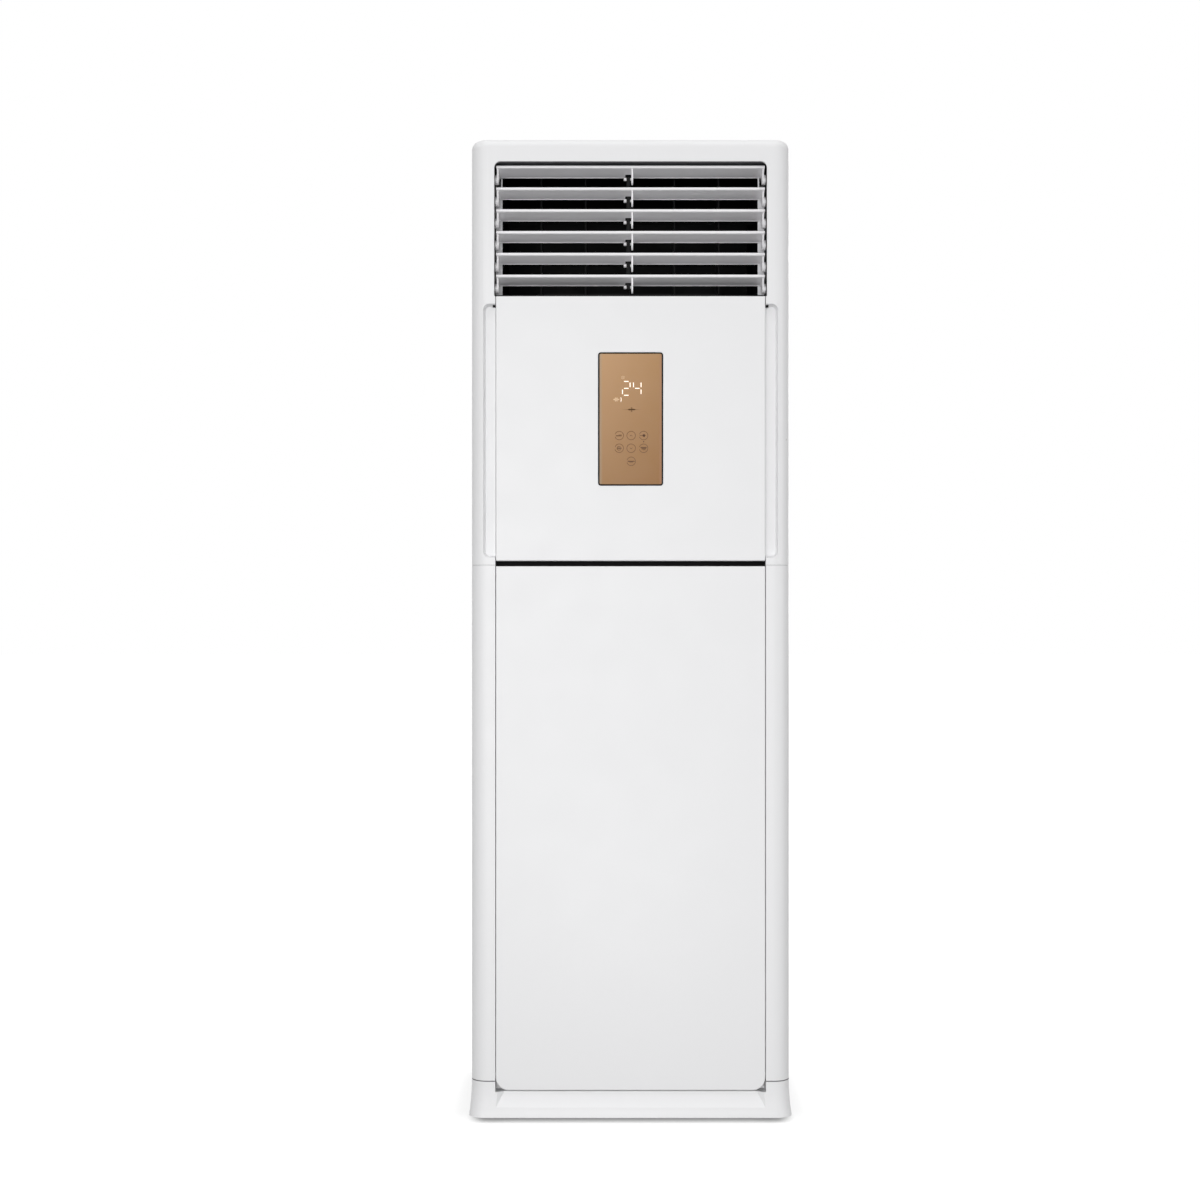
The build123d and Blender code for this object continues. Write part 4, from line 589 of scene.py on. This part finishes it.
# a snowflake for the mode, and a fan
icons = Marks()
SNOW_X, SNOW_Z = -14.6, 78.6
SNOW_LENGTH, SNOW_STROKE = 6.6, 1.4
for turn in range(0, 180, 60):
    icons.bar(SNOW_X, SNOW_Z, SNOW_LENGTH, SNOW_STROKE, turn + 90)
icons.disc(SNOW_X, SNOW_Z, SNOW_STROKE)
FAN_BLADE_LENGTH, FAN_BLADE_WIDTH = 6.2, 3.0
FAN_SQUASH = 3  # the blades grow shorter by up to one part in so many as they point upwards
for turn in range(0, 360, 60):
    reach = FAN_BLADE_LENGTH * (1 - abs(sin(radians(turn))) / FAN_SQUASH)
    icons.petal(FAN_X, FAN_Z, reach, FAN_BLADE_WIDTH, turn)
icons.finish("lit_icons", dim)

KEY_RADIUS = 8.1
KEY_STROKE = 1.0
KEY_BREAK = 16.0  # degrees, where the mark inside crosses the ring
KEY_COLUMNS = {"left": -21.6, "middle": 1.0, "right": 24.6}
KEY_ROWS = {"upper": -31.4, "lower": -55.5, "foot": -80.2}
KEY_DOT_Z = -43.1
KEYS = (
    ("left", "upper", "swing"),
    ("middle", "upper", "up"),
    ("right", "upper", "speed"),
    ("left", "lower", "clock"),
    ("middle", "lower", "down"),
    ("right", "lower", "mode"),
    ("middle", "foot", "power"),
)
# the signs in the keys, in millimetres about the middle of their key
THICK, THIN = 1.7, 0.9
SWING_BAR, SWING_BAR_X, SWING_BAR_Z = 11.0, -0.8, -0.5
SWING_TIP, SWING_TIP_X, SWING_TIP_Z = 5.6, 1.6, 1.2
CHEVRON_ARM, CHEVRON_HALF, CHEVRON_UP_Z = 3.4, 1.2, -0.2
SPEED_X, SPEED_HUB = 0.6, 1.2
SPEED_BLADE, SPEED_BLADE_WIDTH = 3.6, 1.8
SPEED_TAIL, SPEED_TAIL_X = 5.2, -4.8
CLOCK_X, CLOCK_RADIUS, CLOCK_BREAK = -0.4, 3.6, 30
CLOCK_BAR, CLOCK_HAND, CLOCK_HAND_Z = 8.4, 2.8, 1.4
MODE_TOP, MODE_MIDDLE, MODE_FOOT = 11.4, 9.0, 5.0
MODE_TOP_Z, MODE_MIDDLE_Z, MODE_FOOT_Z = 1.5, -0.9, -3.0
MODE_MIDDLE_X, MODE_FOOT_X = 0.4, 0.8
POWER_BAR, POWER_FOOT, POWER_FOOT_Z = 13.0, 7.0, -1.6
KEY_DOT_RADIUS = 1.2
rings = Marks()
glyphs = Marks()
for column, row, glyph in KEYS:
    x, z = KEY_COLUMNS[column], KEY_ROWS[row]
    gap = 0 if glyph in ("up", "down") else KEY_BREAK
    rings.arc(x, z, KEY_RADIUS, KEY_STROKE, -180 + gap, 180 - gap)
    if glyph == "swing":
        glyphs.bar(x + SWING_BAR_X, z + SWING_BAR_Z, SWING_BAR, THICK)
        glyphs.bar(x + SWING_TIP_X, z + SWING_TIP_Z, SWING_TIP, THIN)
    elif glyph == "up":
        rings.bar(x - CHEVRON_HALF, z + CHEVRON_UP_Z, CHEVRON_ARM, THIN, 45)
        rings.bar(x + CHEVRON_HALF, z + CHEVRON_UP_Z, CHEVRON_ARM, THIN, -45)
    elif glyph == "down":
        rings.bar(x - CHEVRON_HALF, z, CHEVRON_ARM, THIN, -45)
        rings.bar(x + CHEVRON_HALF, z, CHEVRON_ARM, THIN, 45)
    elif glyph == "speed":
        glyphs.disc(x + SPEED_X, z, SPEED_HUB)
        for turn in range(0, 360, 60):
            glyphs.petal(x + SPEED_X, z, SPEED_BLADE, SPEED_BLADE_WIDTH, turn)
        glyphs.bar(x + SPEED_TAIL_X, z, SPEED_TAIL, THIN)
    elif glyph == "clock":
        glyphs.arc(x + CLOCK_X, z, CLOCK_RADIUS, THIN, CLOCK_BREAK, 360 - CLOCK_BREAK)
        glyphs.bar(x - CLOCK_X, z, CLOCK_BAR, THICK)
        glyphs.bar(x + CLOCK_X, z + CLOCK_HAND_Z, CLOCK_HAND, THIN, 90)
    elif glyph == "mode":
        glyphs.bar(x, z + MODE_TOP_Z, MODE_TOP, THICK)
        glyphs.bar(x + MODE_MIDDLE_X, z + MODE_MIDDLE_Z, MODE_MIDDLE, THICK)
        glyphs.bar(x + MODE_FOOT_X, z + MODE_FOOT_Z, MODE_FOOT, THIN)
    elif glyph == "power":
        glyphs.bar(x, z, POWER_BAR, THICK)
        glyphs.bar(x, z + POWER_FOOT_Z, POWER_FOOT, THIN)
glyphs.disc(KEY_COLUMNS["right"], KEY_DOT_Z, KEY_DOT_RADIUS)
rings.finish("key_rings", faint_ink)
glyphs.finish("key_glyphs", ink)

# hairline with a small four-pointed star in its middle
line = Marks()
LINE_Z = 17.8
LINE_LEFT, LINE_RIGHT, LINE_MIDDLE = -16.7, 20.4, 1.9
LINE_HALF_STROKE = 0.7
STAR_ACROSS = 7.6
STAR_UP = 5.0
STAR_WIDTH = 3.4
line.face(
    [
        (LINE_LEFT, LINE_Z),
        (LINE_MIDDLE, LINE_Z - LINE_HALF_STROKE),
        (LINE_RIGHT, LINE_Z),
        (LINE_MIDDLE, LINE_Z + LINE_HALF_STROKE),
    ]
)
for turn, reach in ((0, STAR_ACROSS), (90, STAR_UP), (180, STAR_ACROSS), (270, STAR_UP)):
    line.petal(LINE_MIDDLE, LINE_Z, reach, STAR_WIDTH, turn)
line.finish("divider_print", pale_ink)


# ---------------------------------------------------------------- small screw on the right column
LATHE_SIDES = 32
SHARP_ANGLE = 40  # degrees between faces, from which an edge stays sharp


def lathe(name, profile, place, axis, surface, body, sides=LATHE_SIDES):
    """A turned piece: the profile, (radius, height) pairs, swept round the axis at a place."""
    mesh = bmesh.new()
    tilt = Vector((0, 0, 1)).rotation_difference(Vector(axis))
    rings = []
    for radius, height in profile:
        ring = []
        for i in range(sides if radius > 0 else 1):
            turn = 2 * pi * i / sides
            spot = Vector((radius * cos(turn), radius * sin(turn), height))
            spot.rotate(tilt)
            ring.append(mesh.verts.new(Vector(place) + spot))
        rings.append(ring)
    for low, high in zip(rings, rings[1:]):
        for i in range(sides):
            a, b = low[i % len(low)], low[(i + 1) % len(low)]
            c, d = high[(i + 1) % len(high)], high[i % len(high)]
            corners = [v for k, v in enumerate((a, b, c, d)) if v not in (a, b, c, d)[:k]]
            if len(corners) > 2:
                mesh.faces.new(corners)
    bmesh.ops.recalc_face_normals(mesh, faces=mesh.faces)
    data = bpy.data.meshes.new(name)
    mesh.to_mesh(data)
    mesh.free()
    for polygon in data.polygons:
        polygon.use_smooth = True
    piece = bpy.data.objects.new(name, data)
    bpy.context.scene.collection.objects.link(piece)
    split = piece.modifiers.new("edges", "EDGE_SPLIT")
    split.split_angle = radians(SHARP_ANGLE)
    piece.data.materials.append(surface.material)
    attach(piece, body)


COLUMN_CORNER = 30 * MM
SCREW_Z = 1284.7 * MM
SCREW_TURN = -38.1  # degrees from the side, where it sits on the rounded corner
frame_low, frame_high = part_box("upper_front_frame")
corner_centre = Vector((frame_high[0] - COLUMN_CORNER, frame_low[1] + COLUMN_CORNER, SCREW_Z))
screw_way = Vector((cos(radians(SCREW_TURN)), sin(radians(SCREW_TURN)), 0))
SCREW_SINK = 0.4 * MM
SCREW_RECESS_RADIUS, SCREW_RECESS_HEIGHT = 0.7 * MM, 0.1 * MM
SCREW_LIP_RADIUS, SCREW_LIP_HEIGHT = 0.9 * MM, 0.5 * MM
SCREW_CROWN_RADIUS, SCREW_CROWN_HEIGHT = 1.3 * MM, 0.55 * MM
SCREW_HEAD_RADIUS, SCREW_SHOULDER_HEIGHT = 1.6 * MM, 0.3 * MM
screw_seat = corner_centre + screw_way * (COLUMN_CORNER - SCREW_SINK)
SCREW_PROFILE = (
    (0.0, SCREW_RECESS_HEIGHT),
    (SCREW_RECESS_RADIUS, SCREW_RECESS_HEIGHT),
    (SCREW_LIP_RADIUS, SCREW_LIP_HEIGHT),
    (SCREW_CROWN_RADIUS, SCREW_CROWN_HEIGHT),
    (SCREW_HEAD_RADIUS, SCREW_SHOULDER_HEIGHT),
    (SCREW_HEAD_RADIUS, -SCREW_SINK),
)
lathe(
    "column_screw",
    SCREW_PROFILE,
    screw_seat,
    screw_way,
    FINISHES["motor_steel"],
    "cabinet",
)


# ---------------------------------------------------------------- studio
WHITE = (1, 1, 1, 1)


def grey(value):
    return (value, value, value, 1)


def seen_directly(tree):
    """1 where the eye, a reflection or glass looks at it, and 0 where it only sheds light."""
    path = tree.nodes.new("ShaderNodeLightPath")
    camera_ray = path.outputs["Is Camera Ray"]
    glossy = calculate(tree, "MAXIMUM", camera_ray, path.outputs["Is Glossy Ray"])
    return calculate(tree, "MAXIMUM", glossy, path.outputs["Is Transmission Ray"])


def shader(tree, kind, **values):
    """The shader output of a new node with these inputs."""
    node = tree.nodes.new(kind)
    for key, value in values.items():
        feed(tree, node.inputs[key], value)
    return node.outputs[0]


def finish_tree(tree, output_kind, unseen, seen):
    """Mixes the two looks by how the surface is seen, and ends the node tree."""
    mix = tree.nodes.new("ShaderNodeMixShader")
    tree.links.new(seen_directly(tree), mix.inputs["Fac"])
    tree.links.new(unseen, mix.inputs[1])
    tree.links.new(seen, mix.inputs[2])
    out = tree.nodes.new(output_kind)
    tree.links.new(mix.outputs[0], out.inputs["Surface"])


AMBIENT = 0.53
world = bpy.data.worlds.new("studio")
world.use_nodes = True
bpy.context.scene.world = world
tree = world.node_tree
tree.nodes.clear()
shown = shader(tree, "ShaderNodeBackground", Color=WHITE, Strength=1.0)
ambient = shader(tree, "ShaderNodeBackground", Color=WHITE, Strength=AMBIENT)
finish_tree(tree, "ShaderNodeOutputWorld", ambient, shown)

# pale floor: white to the eye, with the soft shadow of the cabinet on it
FLOOR_SIZE = 60.0
FLOOR_SHADE = 0.2
FLOOR_GLOW = 0.92
FLOOR_BOUNCE = 0.16
CONTACT_REACH = 0.046
CONTACT_POWER = 6.0
CONTACT_HALF_DEPTH = 0.165
CONTACT_HALF_WIDTH = 0.295
CONTACT_FADE = 0.02
CONTACT_BESIDE = 0.15
floor_data = bpy.data.meshes.new("floor")
half = FLOOR_SIZE / 2
floor_data.from_pydata(
    [(-half, -half, 0), (half, -half, 0), (half, half, 0), (-half, half, 0)], [], [(0, 1, 2, 3)]
)
floor = bpy.data.objects.new("floor", floor_data)
bpy.context.scene.collection.objects.link(floor)
floor_material = bpy.data.materials.new("floor")
floor_material.use_nodes = True
tree = floor_material.node_tree
tree.nodes.clear()
bounce = shader(tree, "ShaderNodeBsdfDiffuse", Color=grey(FLOOR_BOUNCE))
shade = shader(tree, "ShaderNodeBsdfDiffuse", Color=grey(FLOOR_SHADE))
contact = tree.nodes.new("ShaderNodeAmbientOcclusion")
contact.inputs["Distance"].default_value = CONTACT_REACH
open_share = calculate(tree, "POWER", contact.outputs["AO"], CONTACT_POWER)
dark = calculate(tree, "SUBTRACT", 1.0, open_share)
# the dark line under the cabinet is strongest along its front and back, between the corners
place = tree.nodes.new("ShaderNodeTexCoord").outputs["Object"]
apart = tree.nodes.new("ShaderNodeSeparateXYZ")
tree.links.new(place, apart.inputs["Vector"])
shares = []
for axis_name, border, inside, outside in (
    ("Y", CONTACT_HALF_DEPTH, CONTACT_BESIDE, 1.0),
    ("X", CONTACT_HALF_WIDTH, 1.0, CONTACT_BESIDE),
):
    away = calculate(tree, "ABSOLUTE", apart.outputs[axis_name])
    start, end = border - CONTACT_FADE, border + CONTACT_FADE
    shares.append(remap(tree, away, start, end, inside, outside, "SMOOTHSTEP"))
part_dark = calculate(tree, "MULTIPLY", dark, calculate(tree, "MINIMUM", *shares))
strength = calculate(tree, "MULTIPLY_ADD", part_dark, -FLOOR_GLOW, FLOOR_GLOW)
light = shader(tree, "ShaderNodeEmission", Color=WHITE, Strength=strength)
both = tree.nodes.new("ShaderNodeAddShader")
tree.links.new(shade, both.inputs[0])
tree.links.new(light, both.inputs[1])
finish_tree(tree, "ShaderNodeOutputMaterial", bounce, both.outputs[0])
floor_data.materials.append(floor_material)


MIDDLE = (0, 0, 0.95)
LOW_TARGET = (0, 0, 0.6)


def soft_light(name, place, size, power, target=MIDDLE):
    """A square area light aimed at a point."""
    data = bpy.data.lights.new(name, "AREA")
    data.shape = "SQUARE"
    data.size = size
    data.energy = power
    lamp = bpy.data.objects.new(name, data)
    lamp.location = place
    lamp.rotation_euler = (Vector(target) - Vector(place)).to_track_quat("-Z", "Y").to_euler()
    bpy.context.scene.collection.objects.link(lamp)


soft_light("front", place=(-0.8, -4.9, 1.05), size=2.8, power=102)
soft_light("key_left", place=(-3.4, -3.8, 1.6), size=2.4, power=22)
soft_light("fill_right", place=(3.6, -2.6, 1.3), size=2.4, power=26)
soft_light("back", place=(1.6, 4.4, 2.2), size=2.8, power=58)
soft_light("low", place=(0.0, -1.9, 0.14), size=0.24, power=2.5, target=LOW_TARGET)
soft_light("top", place=(0.0, -0.8, 4.4), size=2.6, power=22)

CAMERA_PLACE = (-0.058, -3.77, 0.98)
CAMERA_LENS = 57.0
CAMERA_SENSOR = 36.0
camera_data = bpy.data.cameras.new("camera")
camera_data.lens = CAMERA_LENS
camera_data.sensor_width = CAMERA_SENSOR
camera = bpy.data.objects.new("camera", camera_data)
camera.location = CAMERA_PLACE
camera.rotation_euler = (pi / 2, 0, 0)
bpy.context.scene.collection.objects.link(camera)
bpy.context.scene.camera = camera
bpy.context.scene.view_settings.view_transform = "Standard"
